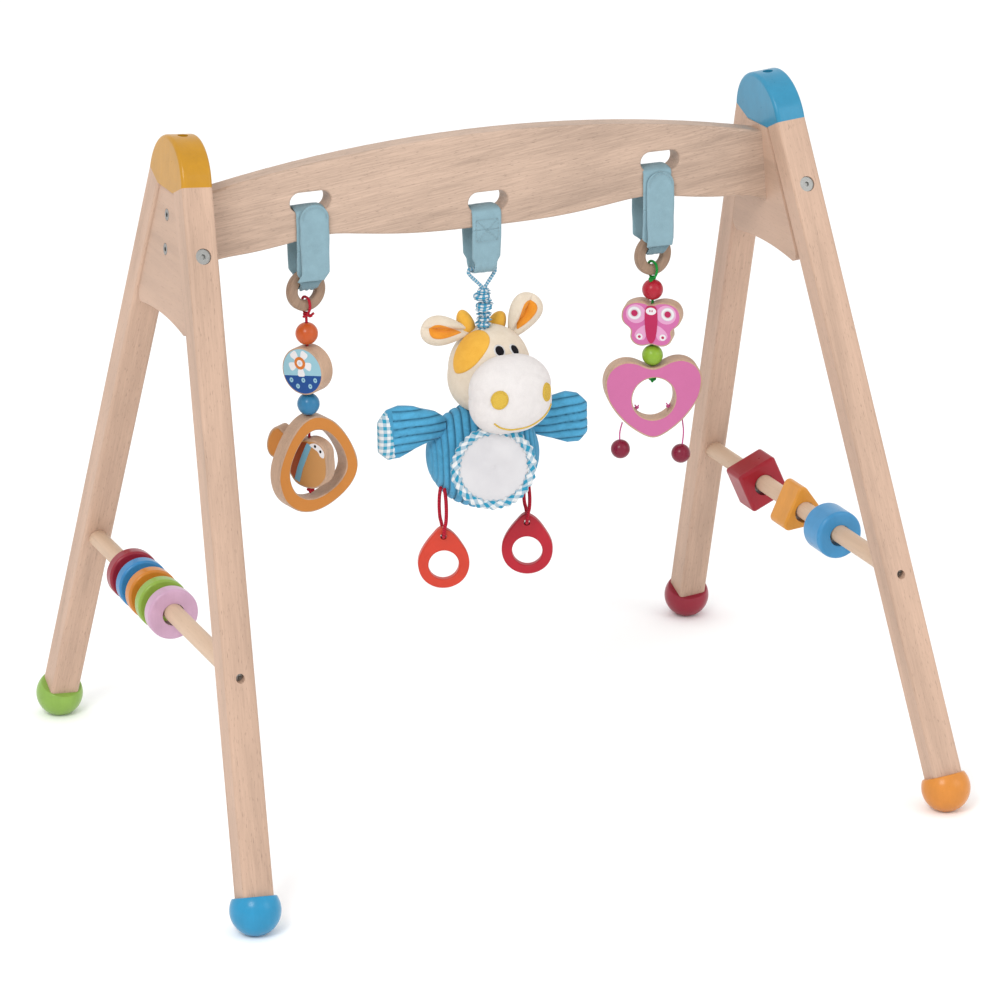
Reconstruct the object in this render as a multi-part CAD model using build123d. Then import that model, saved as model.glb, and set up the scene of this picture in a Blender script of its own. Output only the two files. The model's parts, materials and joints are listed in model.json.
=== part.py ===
from build123d import *
import math
import os

os.makedirs("parts", exist_ok=True)

# Activity play gym: two splayed A-frames, a beam, hanging toys and bead rungs.
# Millimetres. +X runs along the beam, +Z is up, the origin is on the floor
# under the middle of the beam.

# Driving dimensions of the wooden frame
SPLAY = 4.76            # lean of each A-frame, degrees
CORNER_X = 254.2        # middle plane of an A-frame at the legs' top corners
CORNER_Z = 531.6        # height of the legs' outer top corners
HALF_TOP = 40.0         # half width of the A-frame at its top corners
LEG_TILT = 23.28        # lean of each leg within its A-frame, degrees
LEG_DEPTH = 24.0
LEG_THICK = 25.0
LEG_LENGTH = 545.0
LEG_ROUND = 3.0
FOOT_RADIUS = 20.0
FOOT_DROP = 10.0        # ball centre beyond the leg's end
GUSSET_IN = -13.5       # gusset faces, measured outwards from the middle plane
GUSSET_OUT = 10.0
CAP_RISE = 32.0
BEAM_THICK = 20.0
BEAM_ARC = 1212.0
BEAM_TOP = 541.1
SLOT_X = 151.0
SLOT_Z = 501.1
SLOT_MID_Z = 484.4
SLOT_LONG = 34.0
SLOT_HIGH = 16.0
RUNG_DIA = 15.0
RUNG_ALONG = 379.0      # along the leg from its top corner
RUNG_SINK = 8.0
PAINT_ROUND = 3.0       # rounding of painted blocks
GAP = 0.35              # running gap between pieces that move past each other

# Hanging toys
STRAP_WIDE = 25.0
STRAP_THICK = 1.6
STRAP_NECK = 14.0       # width gathered inside a hanger ring
STRAP_BEND = 8.5        # inner radius of the U-bend
STRAP_CORNER = 3.0      # rounding over the slot floor
STRAP_LEAVES = 462.0    # height where the webs leave the beam's faces
STRAP_HANG = 1.0        # U-bend's lowest face above the ring's centre
NECK_RISE = 8.0         # narrow part above the U-bend's lowest face
WIDE_RISE = 14.0        # full width from here up
STRAP_FACE_GAP = 0.4    # between the webs and the beam's faces
STRAP_FLOOR_GAP = 0.6   # between the web and the slot's floor
BEAM_TOP_LIMIT = 540.0  # any height above the slots
HANGER_OD = 34.0
HANGER_ID = 16.5
HANGER_THICK = 7.5
LEFT_X = -153.5         # lines of the three hanging toys
LEFT_RING_Z = 427.0
RIGHT_X = 148.7
RIGHT_RING_Z = 420.4
MIDDLE_X = -2.3
STRAP_LEFT_X = -151.6
STRAP_RIGHT_X = 147.6
BEAD_DIA = 18.2
TOY_THICK = 15.0
CORD_RADIUS = 1.1
CORD_HOLE = 1.7

SIN_S = math.sin(math.radians(SPLAY))
COS_S = math.cos(math.radians(SPLAY))
SIN_L = math.sin(math.radians(LEG_TILT))
COS_L = math.cos(math.radians(LEG_TILT))
INNER_TOP = HALF_TOP - LEG_DEPTH * COS_L
INNER_DROP = LEG_DEPTH * SIN_L
FRONT_REAR = {"front": -1, "rear": 1}

made = {}


def keep(name, shape):
    made[name] = shape


def frame_plane(offset=0.0):
    """Plane of the right A-frame: local x is +Y, local y is up, normal outwards."""
    origin = (CORNER_X + offset * COS_S, 0, CORNER_Z + offset * SIN_S)
    return Plane(origin=origin, x_dir=(0, 1, 0), z_dir=(COS_S, 0, SIN_S))


def frame_point(y, down, offset=0.0):
    x = CORNER_X + down * SIN_S + offset * COS_S
    z = CORNER_Z - down * COS_S + offset * SIN_S
    return Vector(x, y, z)


def leg_plane():
    """Plane at the rear right leg's outer top corner: x into the depth, z up the leg."""
    inwards = (SIN_L * SIN_S, -COS_L, -SIN_L * COS_S)
    up = (-COS_L * SIN_S, -SIN_L, COS_L * COS_S)
    return Plane(origin=(CORNER_X, HALF_TOP, CORNER_Z), x_dir=inwards, z_dir=up)


def to_side(shape, side):
    return shape if side > 0 else mirror(shape, about=Plane.YZ)


def to_end(shape, end):
    return shape if end > 0 else mirror(shape, about=Plane.XZ)


def rod(start, end, radius):
    """Round bar from one point to another."""
    a = Vector(*start)
    b = Vector(*end)
    plane = Plane(origin=a, z_dir=(b - a))
    return plane * Cylinder(radius, (b - a).length, align=(Align.CENTER, Align.CENTER, Align.MIN))


def upright(x, y, z, turn):
    """Upright plane that faces -Y, turned about Z: local x to the right, local y up."""
    a = math.radians(turn)
    facing = (math.sin(a), -math.cos(a), 0)
    right = (math.cos(a), math.sin(a), 0)
    return Plane(origin=(x, y, z), x_dir=right, z_dir=facing)


def board(outline, thick):
    return extrude(make_face(outline), amount=thick / 2, both=True)


def smooth_outline(points):
    return Spline(*points, periodic=True)


def ball(centre, radii, turn=0.0):
    return Pos(*centre) * Rot(0, 0, turn) * scale(Sphere(1), by=tuple(radii))


# ---------------------------------------------------------------- frame

BOLT_ALONG = 53.6
BOLT_HEAD = 6.3
BOLT_HEAD_DEEP = 5.0
BOLT_SHANK = 3.0
INSERT_RADIUS = 5.0
INSERT_LONG = 14.0
BOLT_REACH = 20.0       # length of shank past the face it enters
PILOT = 3.5             # screw holes in the legs
SCREW_HEAD_DEEP = 5.0
SCREW_HEAD = 3.0


def bolt(plane, seat, reach):
    """Bolt along the plane's z: the head's outer face sits at -seat, the tip at -reach."""
    head = Pos(0, 0, -seat) * Cylinder(BOLT_HEAD - 0.3, 3.0, align=(Align.CENTER, Align.CENTER, Align.MAX))
    socket = Pos(0, 0, -seat) * extrude(RegularPolygon(2.2, 6), -1.8)
    shank = Pos(0, 0, -seat - 3) * Cylinder(
        BOLT_SHANK, reach - seat - 3, align=(Align.CENTER, Align.CENTER, Align.MAX)
    )
    return plane * (head - socket + shank)


def insert(plane, start):
    tube = Cylinder(INSERT_RADIUS, INSERT_LONG) - Cylinder(BOLT_SHANK, INSERT_LONG)
    return plane * Pos(0, 0, -start - INSERT_LONG / 2) * tube


def bore(plane, radius, depth):
    return plane * Cylinder(radius, depth, align=(Align.CENTER, Align.CENTER, Align.MAX))


def leg_bolt_plane():
    at = leg_plane()
    centre = at.origin - at.z_dir * BOLT_ALONG
    return Plane(origin=centre, z_dir=-at.x_dir)


def beam_bolt_plane(down):
    return Plane(origin=frame_point(0, down, GUSSET_OUT), z_dir=(COS_S, 0, SIN_S))


def rung_end(face_y):
    """Point on the rung's axis at a given y."""
    down = RUNG_ALONG * COS_L
    at = frame_point(0, down)
    return Vector(at.X, face_y, at.Z)


RUNG_OUTER = HALF_TOP + RUNG_ALONG * SIN_L
RUNG_INNER = RUNG_OUTER - LEG_DEPTH / COS_L
BEAM_BOLTS = (31.0, 58.5)
GUSSET_THICK = GUSSET_OUT - GUSSET_IN
BEAM_REACH = GUSSET_THICK + BOLT_REACH
LEG_REACH = LEG_DEPTH + BOLT_REACH


def make_leg():
    blank = Box(LEG_DEPTH, LEG_THICK, LEG_LENGTH, align=(Align.MIN, Align.CENTER, Align.MAX))
    blank = fillet(blank.edges().filter_by(Axis.Z), LEG_ROUND)
    leg = leg_plane() * blank
    leg -= bore(leg_bolt_plane(), BOLT_HEAD, BOLT_HEAD_DEEP)
    leg -= bore(leg_bolt_plane(), BOLT_SHANK, LEG_DEPTH + 5)
    leg -= rod(rung_end(RUNG_INNER - 10), rung_end(RUNG_INNER + RUNG_SINK), RUNG_DIA / 2)
    leg -= rod(rung_end(RUNG_OUTER - SCREW_HEAD_DEEP - SCREW_HEAD), rung_end(RUNG_OUTER + 5), PILOT)
    leg -= rod(rung_end(RUNG_INNER), rung_end(RUNG_OUTER), PILOT / 2)
    return leg


def foot_centre():
    at = leg_plane()
    return at.origin + at.x_dir * (LEG_DEPTH / 2) - at.z_dir * (LEG_LENGTH + FOOT_DROP)


def make_foot():
    centre = foot_centre()
    foot = Pos(centre.X, centre.Y, centre.Z) * Sphere(FOOT_RADIUS)
    above = leg_plane() * Pos(0, 0, -LEG_LENGTH) * Box(
        90, 90, 60, align=(Align.CENTER, Align.CENTER, Align.MIN)
    )
    below = Pos(centre.X, centre.Y, 0) * Box(90, 90, 30, align=(Align.CENTER, Align.CENTER, Align.MAX))
    foot = foot - above - below
    return fillet(foot.edges().group_by(Axis.Z)[-1], 1.2)


def make_gusset():
    """Board between the legs' inner faces, with a shallow arch along its foot."""
    slope = math.tan(math.radians(LEG_TILT))
    foot_down = 104.0
    foot_y = INNER_TOP + (foot_down - INNER_DROP) * slope
    side = [(INNER_TOP, -INNER_DROP), (foot_y, -foot_down)]
    toe = (foot_y - 6.5, -114.5)
    crown = (0, -110.5)
    outline = Line((-side[0][0], side[0][1]), side[0])
    outline += Line(*side)
    outline += ThreePointArc(side[1], (foot_y - 0.8, -111.0), toe)
    outline += ThreePointArc(toe, crown, (-toe[0], toe[1]))
    outline += ThreePointArc((-toe[0], toe[1]), (-foot_y + 0.8, -111.0), (-side[1][0], side[1][1]))
    outline += Line((-side[1][0], side[1][1]), (-side[0][0], side[0][1]))
    gusset = extrude(frame_plane(GUSSET_IN) * make_face(outline), amount=GUSSET_THICK)
    for end in (-1, 1):
        gusset -= to_end(bore(leg_bolt_plane(), BOLT_SHANK, LEG_REACH), end)
        gusset -= to_end(
            bore(leg_bolt_plane().offset(-LEG_DEPTH), INSERT_RADIUS, INSERT_LONG), end
        )
    for down in BEAM_BOLTS:
        gusset -= bore(beam_bolt_plane(down), BOLT_HEAD - 1.5, 4.0)
        gusset -= bore(beam_bolt_plane(down), BOLT_SHANK, 60)
    return gusset


def make_cap():
    outline = Line((HALF_TOP, 0), (INNER_TOP, -INNER_DROP))
    outline += Line((INNER_TOP, -INNER_DROP), (-INNER_TOP, -INNER_DROP))
    outline += Line((-INNER_TOP, -INNER_DROP), (-HALF_TOP, 0))
    outline += ThreePointArc((-HALF_TOP, 0), (0, CAP_RISE), (HALF_TOP, 0))
    cap = extrude(frame_plane() * make_face(outline), amount=LEG_THICK / 2, both=True)
    arcs = [e for e in cap.edges() if e.geom_type == GeomType.CIRCLE]
    cap = fillet(arcs, 3.0)
    top = Plane(origin=frame_point(0, -CAP_RISE), z_dir=(-SIN_S, 0, COS_S))
    cap -= bore(top, 4.2, 9.0)
    cap -= bore(top, 2.2, 60)
    return cap


def cap_screw():
    top = Plane(origin=frame_point(0, -CAP_RISE + 5.5), z_dir=(-SIN_S, 0, COS_S))
    head = Cylinder(3.9, 3.5, align=(Align.CENTER, Align.CENTER, Align.MAX))
    shank = Cylinder(2.2, 48.0, align=(Align.CENTER, Align.CENTER, Align.MAX))
    slot = Box(5.0, 1.0, 2.4) + Box(1.0, 5.0, 2.4)
    return top * (head + shank - slot)


def rung_screw():
    seat = RUNG_OUTER - SCREW_HEAD_DEEP - SCREW_HEAD
    head = rod(rung_end(seat), rung_end(seat + SCREW_HEAD), PILOT - 0.1)
    shank = rod(rung_end(RUNG_INNER - 18), rung_end(seat), PILOT / 2)
    cross = Pos(*rung_end(RUNG_OUTER - SCREW_HEAD_DEEP)) * (Box(4.4, 2.0, 0.9) + Box(0.9, 2.0, 4.4))
    return head + shank - cross


def make_rung():
    reach = RUNG_INNER + RUNG_SINK
    rung = rod(rung_end(-reach), rung_end(reach), RUNG_DIA / 2)
    for end in (-1, 1):
        rung -= rod(rung_end(end * (RUNG_INNER - 18)), rung_end(end * reach), PILOT / 2)
    return rung


def beam_outline():
    """Arched top edge, gently waved bottom edge, symmetric about X = 0."""
    waist = [(247.1, 457.1), (229, 462.8), (206, 464.8), (163, 470.0), (135, 472.6), (112, 470.4), (62, 465.2)]
    bottom = [(x, z) for x, z in waist] + [(0, 464.0)] + [(-x, z) for x, z in reversed(waist)]
    half = 252.0
    drop = BEAM_ARC - math.sqrt(BEAM_ARC ** 2 - half ** 2)
    foot = (half, waist[0][1] - 2.0)
    ends = (half, BEAM_TOP - drop)
    outline = ThreePointArc((-ends[0], ends[1]), (0, BEAM_TOP), ends)
    outline += Line(ends, foot)
    outline += Line(foot, bottom[0])
    outline += Spline(*bottom)
    outline += Line(bottom[-1], (-foot[0], foot[1]))
    outline += Line((-foot[0], foot[1]), (-ends[0], ends[1]))
    return outline


def make_beam():
    beam = extrude(Plane.XZ * make_face(beam_outline()), amount=BEAM_THICK / 2, both=True)
    slots = Plane.XZ * Pos(0, SLOT_MID_Z) * SlotOverall(SLOT_LONG, SLOT_HIGH)
    for side in (-1, 1):
        slots += Plane.XZ * Pos(side * SLOT_X, SLOT_Z) * SlotOverall(SLOT_LONG, SLOT_HIGH)
    beam -= extrude(slots, amount=BEAM_THICK, both=True)
    long_edges = [
        e for e in beam.edges()
        if e.bounding_box().size.Y < 0.01 and abs(e.center().X) < 248
    ]
    beam = fillet(long_edges, 2.0)
    cutter = frame_plane(GUSSET_IN) * Box(300, 300, 60, align=(Align.CENTER, Align.CENTER, Align.MIN))
    for side in (-1, 1):
        beam -= to_side(cutter, side)
        for down in BEAM_BOLTS:
            beam -= to_side(bore(beam_bolt_plane(down), BOLT_SHANK, BEAM_REACH), side)
            seat = beam_bolt_plane(down).offset(-GUSSET_THICK)
            beam -= to_side(bore(seat, INSERT_RADIUS, INSERT_LONG), side)
    return beam


def hardware():
    leg_bolts = []
    beam_bolts = []
    inserts = []
    screws = []
    for side in (-1, 1):
        for end in (-1, 1):
            fixing = leg_bolt_plane()
            leg_bolts.append(to_side(to_end(bolt(fixing, 1.5, LEG_REACH - 1), end), side))
            inserts.append(to_side(to_end(insert(fixing, LEG_DEPTH), end), side))
            screws.append(to_side(to_end(rung_screw(), end), side))
        for down in BEAM_BOLTS:
            fixing = beam_bolt_plane(down)
            small = fixing * (
                Cylinder(BOLT_HEAD - 1.8, 3.0, align=(Align.CENTER, Align.CENTER, Align.MAX))
                - extrude(RegularPolygon(2.0, 6), -1.6)
                + Cylinder(BOLT_SHANK, BEAM_REACH - 1, align=(Align.CENTER, Align.CENTER, Align.MAX))
                - extrude(RegularPolygon(2.0, 6), -1.6)
            )
            beam_bolts.append(to_side(small, side))
            inserts.append(to_side(insert(fixing, GUSSET_THICK), side))
        screws.append(to_side(cap_screw(), side))
    keep("leg_bolts", Compound(leg_bolts))
    keep("beam_bolts", Compound(beam_bolts))
    keep("threaded_inserts", Compound(inserts))
    keep("wood_screws", Compound(screws))


def make_gusset_for_screw():
    """The gusset's top also takes the cap's screw."""
    top = Plane(origin=frame_point(0, INNER_DROP), z_dir=(-SIN_S, 0, COS_S))
    return make_gusset() - bore(top, 2.2, 14.0)


def dowel_pin():
    at = leg_plane()
    middle = at.origin + at.x_dir * (LEG_DEPTH / 2) - at.z_dir * LEG_LENGTH
    return rod(middle - at.z_dir * 10, middle + at.z_dir * 16, 4.0)


def build_frame():
    keep("beam", make_beam())
    pins = []
    for side_name, side in (("left", -1), ("right", 1)):
        keep("gusset_" + side_name, to_side(make_gusset_for_screw(), side))
        keep("cap_" + side_name, to_side(make_cap(), side))
        keep("rung_" + side_name, to_side(make_rung(), side))
        for end_name, end in FRONT_REAR.items():
            place = end_name + "_" + side_name
            keep("leg_" + place, to_side(to_end(make_leg() - dowel_pin(), end), side))
            keep("foot_" + place, to_side(to_end(make_foot() - dowel_pin(), end), side))
            pins.append(to_side(to_end(dowel_pin(), end), side))
    keep("foot_dowels", Compound(pins))
    hardware()


# ---------------------------------------------------------------- rungs

RING_OD = 42.0
RING_HOLE = 18.4
RING_THICK = 12.0
RING_PITCH = 24.3
RING_FRONT = -26.0      # middle of the front ring
RING_COLOURS = ("pink", "green", "orange", "blue", "red")
BLOCK_THICK = 29.0
SIDE_GAP = (RING_HOLE - RUNG_DIA) / 2 - 0.1


def hang_plane(side, y):
    """Where a ring or block hangs on its rung: its hole rests on top of the dowel."""
    at = rung_end(y)
    return Plane(origin=(side * at.X, y, at.Z - SIDE_GAP), x_dir=(1, 0, 0), z_dir=(0, -1, 0))


def build_rung_toys():
    for i, colour in enumerate(RING_COLOURS):
        ring = Cylinder(RING_OD / 2, RING_THICK)
        ring = fillet(ring.edges().filter_by(GeomType.CIRCLE), 2.2)
        ring -= Cylinder(RING_HOLE / 2, RING_THICK)
        keep("ring_" + colour, hang_plane(-1, RING_FRONT + i * RING_PITCH) * ring)
    hole = Cylinder(RING_HOLE / 2, BLOCK_THICK)
    square = fillet(Box(37, 37, BLOCK_THICK).edges(), PAINT_ROUND) - hole
    keep("block_square", hang_plane(1, 76.5) * Rot(0, 0, 24) * square)
    triangle = extrude(RegularPolygon(27.0, 3, rotation=90), BLOCK_THICK / 2, both=True)
    triangle = fillet(triangle.edges().filter_by(Axis.Z), 5.0)
    triangle = fillet(triangle.faces().filter_by(Axis.Z).edges(), 2.0) - hole
    keep("block_triangle", hang_plane(1, -1.5) * Rot(0, 0, 5) * triangle)
    drum = Cylinder(20.5, BLOCK_THICK)
    drum = fillet(drum.edges().filter_by(GeomType.CIRCLE), PAINT_ROUND) - hole
    keep("block_cylinder", hang_plane(1, -66.5) * drum)


# ---------------------------------------------------------------- straps


def strap_loop(x, slot_floor, bottom, neck, neck_x):
    """Webbing band through a slot, down both faces of the beam to a U-bend."""
    half = BEAM_THICK / 2 + STRAP_FACE_GAP
    top = slot_floor + STRAP_FLOOR_GAP
    aside = neck_x - x
    arc_rise = 0.7 * STRAP_CORNER

    def band(grow):
        side = half + grow
        low = bottom + STRAP_THICK - grow
        radius = STRAP_BEND + grow
        crown = top + grow
        foot = crown - STRAP_CORNER
        shoulder = side - STRAP_CORNER
        outline = Line((-side, STRAP_LEAVES), (-side, foot))
        outline += ThreePointArc((-side, foot), (-shoulder - arc_rise, foot + arc_rise), (-shoulder, crown))
        outline += Line((-shoulder, crown), (shoulder, crown))
        outline += ThreePointArc((shoulder, crown), (shoulder + arc_rise, foot + arc_rise), (side, foot))
        outline += Line((side, foot), (side, STRAP_LEAVES))
        outline += Line((side, STRAP_LEAVES), (radius, low + radius))
        outline += ThreePointArc((radius, low + radius), (0, low), (-radius, low + radius))
        outline += Line((-radius, low + radius), (-side, STRAP_LEAVES))
        return make_face(Plane.YZ * outline)

    web = extrude(band(STRAP_THICK), STRAP_WIDE / 2, both=True)
    web -= extrude(band(0.0), STRAP_WIDE, both=True)
    wide = STRAP_WIDE / 2
    right, left = aside + neck / 2, aside - neck / 2
    above, below = BEAM_TOP_LIMIT, bottom - STRAP_CORNER
    front = Polyline(
        (-wide, above), (wide, above), (wide, bottom + WIDE_RISE), (right, bottom + NECK_RISE),
        (right, below), (left, below), (left, bottom + NECK_RISE), (-wide, bottom + WIDE_RISE), close=True,
    )
    web &= extrude(Plane.XZ * make_face(front), 2 * BEAM_THICK, both=True)
    return Pos(x, 0, 0) * web - made["beam"]


MIDDLE_BOTTOM = 423.4
MIDDLE_NECK = 19.0


def build_straps():
    slot_floor = SLOT_Z - SLOT_HIGH / 2
    left_bottom = LEFT_RING_Z + STRAP_HANG
    right_bottom = RIGHT_RING_Z + STRAP_HANG
    keep("strap_left", strap_loop(STRAP_LEFT_X, slot_floor, left_bottom, STRAP_NECK, LEFT_X))
    keep("strap_right", strap_loop(STRAP_RIGHT_X, slot_floor, right_bottom, STRAP_NECK, RIGHT_X))
    middle_floor = SLOT_MID_Z - SLOT_HIGH / 2
    keep("strap_middle", strap_loop(MIDDLE_X, middle_floor, MIDDLE_BOTTOM, MIDDLE_NECK, MIDDLE_X))


# ---------------------------------------------------------------- toy strings


def hanger_ring(x, z, turn):
    ring = Cylinder(HANGER_OD / 2, HANGER_THICK) - Cylinder(HANGER_ID / 2, HANGER_THICK)
    ring = fillet(ring.edges().filter_by(GeomType.CIRCLE), 2.5)
    return upright(x, 0, z, turn) * ring


LOOP_RADIUS = 6.2
KNOT_RADIUS = 1.8


def hanging_cord(x, ring_z, turn, end_z):
    """Cord looped round a hanger ring's rim, knotted, then straight down to a knot."""
    rim = ring_z - (HANGER_OD + HANGER_ID) / 4
    a = math.radians(turn)
    along = (math.cos(a), math.sin(a), 0)
    loop = Plane(origin=(x, 0, rim), z_dir=along) * Torus(LOOP_RADIUS, CORD_RADIUS)
    knot_z = rim - LOOP_RADIUS - 1.3
    knot = Pos(x, 0, knot_z) * Sphere(KNOT_RADIUS)
    line = rod((x, 0, knot_z), (x, 0, end_z), CORD_RADIUS)
    end = Pos(x, 0, end_z) * Sphere(2.6)
    return loop + knot + line + end


def bead(x, z, size=BEAD_DIA):
    body = Pos(x, 0, z) * Sphere(size / 2)
    hole = Pos(x, 0, z) * Cylinder(CORD_HOLE, size)
    return body - hole


def cord_hole(x, low, high):
    return rod((x, 0, low), (x, 0, high), CORD_HOLE)


# The left toy's ring is a rounded triangle whose centre lies beside the cord.
TEETHER_Z = 283.4
TEETHER_CENTRE = (3.5, -1.0)
TEETHER_INSIDE = 0.715  # size of the opening against the outline
TEETHER_TURN = 10.0
DISC_Z = 361.3
DISC_DIA = 39.0
DISC_TURN = -55.0
BIRD_TURN = -54.0
BIRD_THICK = 12.0
LEFT_BEADS = (391.0, 332.2)
LEFT_CORD_END = 259.6


def rounded_triangle(factor):
    """Outline with three soft corners, scaled about the ring's centre."""
    outer = [
        (2.5, 39.5), (16.5, 34.5), (28.5, 22), (36.5, 8), (40.5, -8), (37, -19), (26.5, -29.5), (9.5, -38),
        (-5.5, -39.8), (-17.5, -36), (-27.5, -26.5), (-32.5, -12), (-32, 0), (-27, 13.5), (-19.5, 26), (-9.5, 36),
    ]
    x0, y0 = TEETHER_CENTRE
    return smooth_outline([(x0 + factor * (x - x0), y0 + factor * (y - y0)) for x, y in outer])


def make_teether_ring():
    place = upright(LEFT_X, 0, TEETHER_Z, TEETHER_TURN)
    ring = board(rounded_triangle(1.0), TOY_THICK) - board(rounded_triangle(TEETHER_INSIDE), TOY_THICK * 2)
    ring = chamfer(ring.faces().filter_by(Axis.Z).edges(), 0.6)
    return place * ring - cord_hole(LEFT_X, TEETHER_Z, TEETHER_Z + 60)


def make_bird():
    outline = smooth_outline([
        (0, 20.5), (11, 20), (19, 13.5), (20, 6), (20.5, -1), (19, -10), (11, -18.5), (0, -20.5),
        (-11, -17), (-19, -6), (-27, -0.5), (-34, 1), (-37.5, 7), (-36.5, 16), (-32, 24), (-26, 27), (-20.5, 23.5),
        (-14, 18.5), (-6, 19.5),
    ])
    place = upright(LEFT_X, 0, TEETHER_Z, BIRD_TURN)
    bird = chamfer(board(outline, BIRD_THICK).faces().filter_by(Axis.Z).edges(), 0.6)
    return place * bird - cord_hole(LEFT_X, TEETHER_Z - 60, TEETHER_Z + 60)


def build_left_toy():
    keep("hanger_ring_left", hanger_ring(LEFT_X, LEFT_RING_Z, TEETHER_TURN))
    keep("cord_left", hanging_cord(LEFT_X, LEFT_RING_Z, TEETHER_TURN, LEFT_CORD_END))
    keep("bead_orange", bead(LEFT_X, LEFT_BEADS[0]))
    disc = Cylinder(DISC_DIA / 2, TOY_THICK)
    disc = fillet(disc.edges().filter_by(GeomType.CIRCLE), 0.8)
    disc = upright(LEFT_X, 0, DISC_Z, DISC_TURN) * disc
    keep("flower_disc", disc - cord_hole(LEFT_X, DISC_Z - 40, DISC_Z + 40))
    keep("bead_blue", bead(LEFT_X, LEFT_BEADS[1]))
    keep("teether_ring", make_teether_ring())
    keep("bird", make_bird())


# The right toy: butterfly over a heart with a round hole and two cherries.
BUTTERFLY_Z = 362.7
BUTTERFLY_TURN = -34.0
HEART_Z = 298.8
HEART_TURN = -15.0
HEART_HOLE = 36.0
RIGHT_BEADS = (390.6, 334.4)
RIGHT_BEAD_DIA = 17.4
CHERRY_DIA = 16.0
CHERRIES = {"left": (-26.8, 254.4), "right": (24.0, 247.8)}   # (across, height)
CORD_EXIT = (24.4, -20.4)
CORD_KNOT = (12.0, -12.5)


def heart_point(across, up):
    a = math.radians(HEART_TURN)
    return (RIGHT_X + across * math.cos(a), across * math.sin(a), HEART_Z + up)


def make_heart():
    right = [
        (7, 28.2), (15, 31.8), (25, 32.6), (35, 27.5), (40.3, 17), (38.6, 2), (33, -8.5), (23.6, -19.8), (11, -29.6),
    ]
    left = [(-x, z) for x, z in reversed(right)]
    heart = board(smooth_outline([(0, 26.4)] + right + [(0, -33.8)] + left), TOY_THICK)
    heart -= Cylinder(HEART_HOLE / 2, TOY_THICK * 2)
    heart = chamfer(heart.faces().filter_by(Axis.Z).edges(), 0.6)
    heart = upright(RIGHT_X, 0, HEART_Z, HEART_TURN) * heart
    heart -= cord_hole(RIGHT_X, HEART_Z, HEART_Z + 50)
    for side in (-1, 1):
        inside = heart_point(side * CORD_KNOT[0] * 0.9, CORD_KNOT[1] * 0.9)
        outside = heart_point(side * (CORD_EXIT[0] + 3), CORD_EXIT[1] - 1.9)
        heart -= rod(inside, outside, 1.2)
    return heart


def make_butterfly():
    outline = smooth_outline([
        (0, 16.2), (6, 18.4), (14, 18.6), (21.5, 15), (24.6, 8), (23, 0.5), (17.2, -5.6), (17.4, -11.5),
        (14, -17), (7.5, -18.8), (0, -17.4), (-7.5, -18.8), (-14, -17), (-17.4, -11.5), (-17.2, -5.6),
        (-23, 0.5), (-24.6, 8), (-21.5, 15), (-14, 18.6), (-6, 18.4),
    ])
    place = upright(RIGHT_X, 0, BUTTERFLY_Z, BUTTERFLY_TURN)
    wings = chamfer(board(outline, TOY_THICK - 1).faces().filter_by(Axis.Z).edges(), 0.6)
    return place * wings - cord_hole(RIGHT_X, BUTTERFLY_Z - 40, BUTTERFLY_Z + 40)


def build_right_toy():
    keep("hanger_ring_right", hanger_ring(RIGHT_X, RIGHT_RING_Z, TEETHER_TURN))
    cord_end = HEART_Z + HEART_HOLE / 2 - 3.2
    keep("cord_right", hanging_cord(RIGHT_X, RIGHT_RING_Z, TEETHER_TURN, cord_end))
    keep("bead_red", bead(RIGHT_X, RIGHT_BEADS[0], RIGHT_BEAD_DIA))
    keep("butterfly", make_butterfly())
    keep("bead_green", bead(RIGHT_X, RIGHT_BEADS[1], RIGHT_BEAD_DIA))
    keep("heart", make_heart())
    for name, (across, height) in CHERRIES.items():
        side = -1 if across < 0 else 1
        fruit = heart_point(across, height - HEART_Z)
        start = heart_point(side * (CORD_EXIT[0] + 1.6), CORD_EXIT[1] - 2.6)
        cord = rod(start, fruit, 0.6)
        cherry = Pos(*fruit) * Sphere(CHERRY_DIA / 2)
        keep("cherry_cord_" + name, cord - cherry)
        keep("cherry_" + name, cherry)


# ---------------------------------------------------------------- cow

COW_X = 3.0
ELASTIC_TOP = 411.0
LOOP_THICK = 1.8        # radius of the fabric tube round the strap
HEAD = ((4.5, 2, 343.0), (34.0, 31.0, 34.0))
MUZZLE = ((6.5, -31, 330.0), (33.5, 22.0, 27.5))
BODY = ((-2.0, 4, 268.5), (47.5, 31.0, 46.0))
BODY_TURN = -10.0
MIRROR = ((-3.0, -31.5, 268.5), 27.5)
MIRROR_THICK = 2.0
BINDING = 8.0
TEETHERS = {"left": (-40.0, 184.6), "right": (34.5, 186.0)}
TEETHER_HOLE = 25.0
LEG_CORD_RADIUS = 1.5
TEETHER_EYE = 20.5      # the cord's hole above the teether's middle
LEG_CORD_TOP = 246.0
LEG_CORD_GAP = 2.2      # room round the leg cord's top, so the teether can swing


def cow_patch_plane():
    (x, y, z), _ = MIRROR
    return upright(x, y, z, BODY_TURN) * Rot(-4, 0, 0)


def make_cow_head():
    head = ball(*HEAD)
    muzzle = ball(*MUZZLE)
    return head + muzzle


def make_cow_body(head):
    body = ball(*BODY, turn=BODY_TURN)
    face = cow_patch_plane() * Cylinder(MIRROR[1] + BINDING + 12, 40, align=(Align.CENTER, Align.CENTER, Align.MIN))
    return body - face - head


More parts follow.
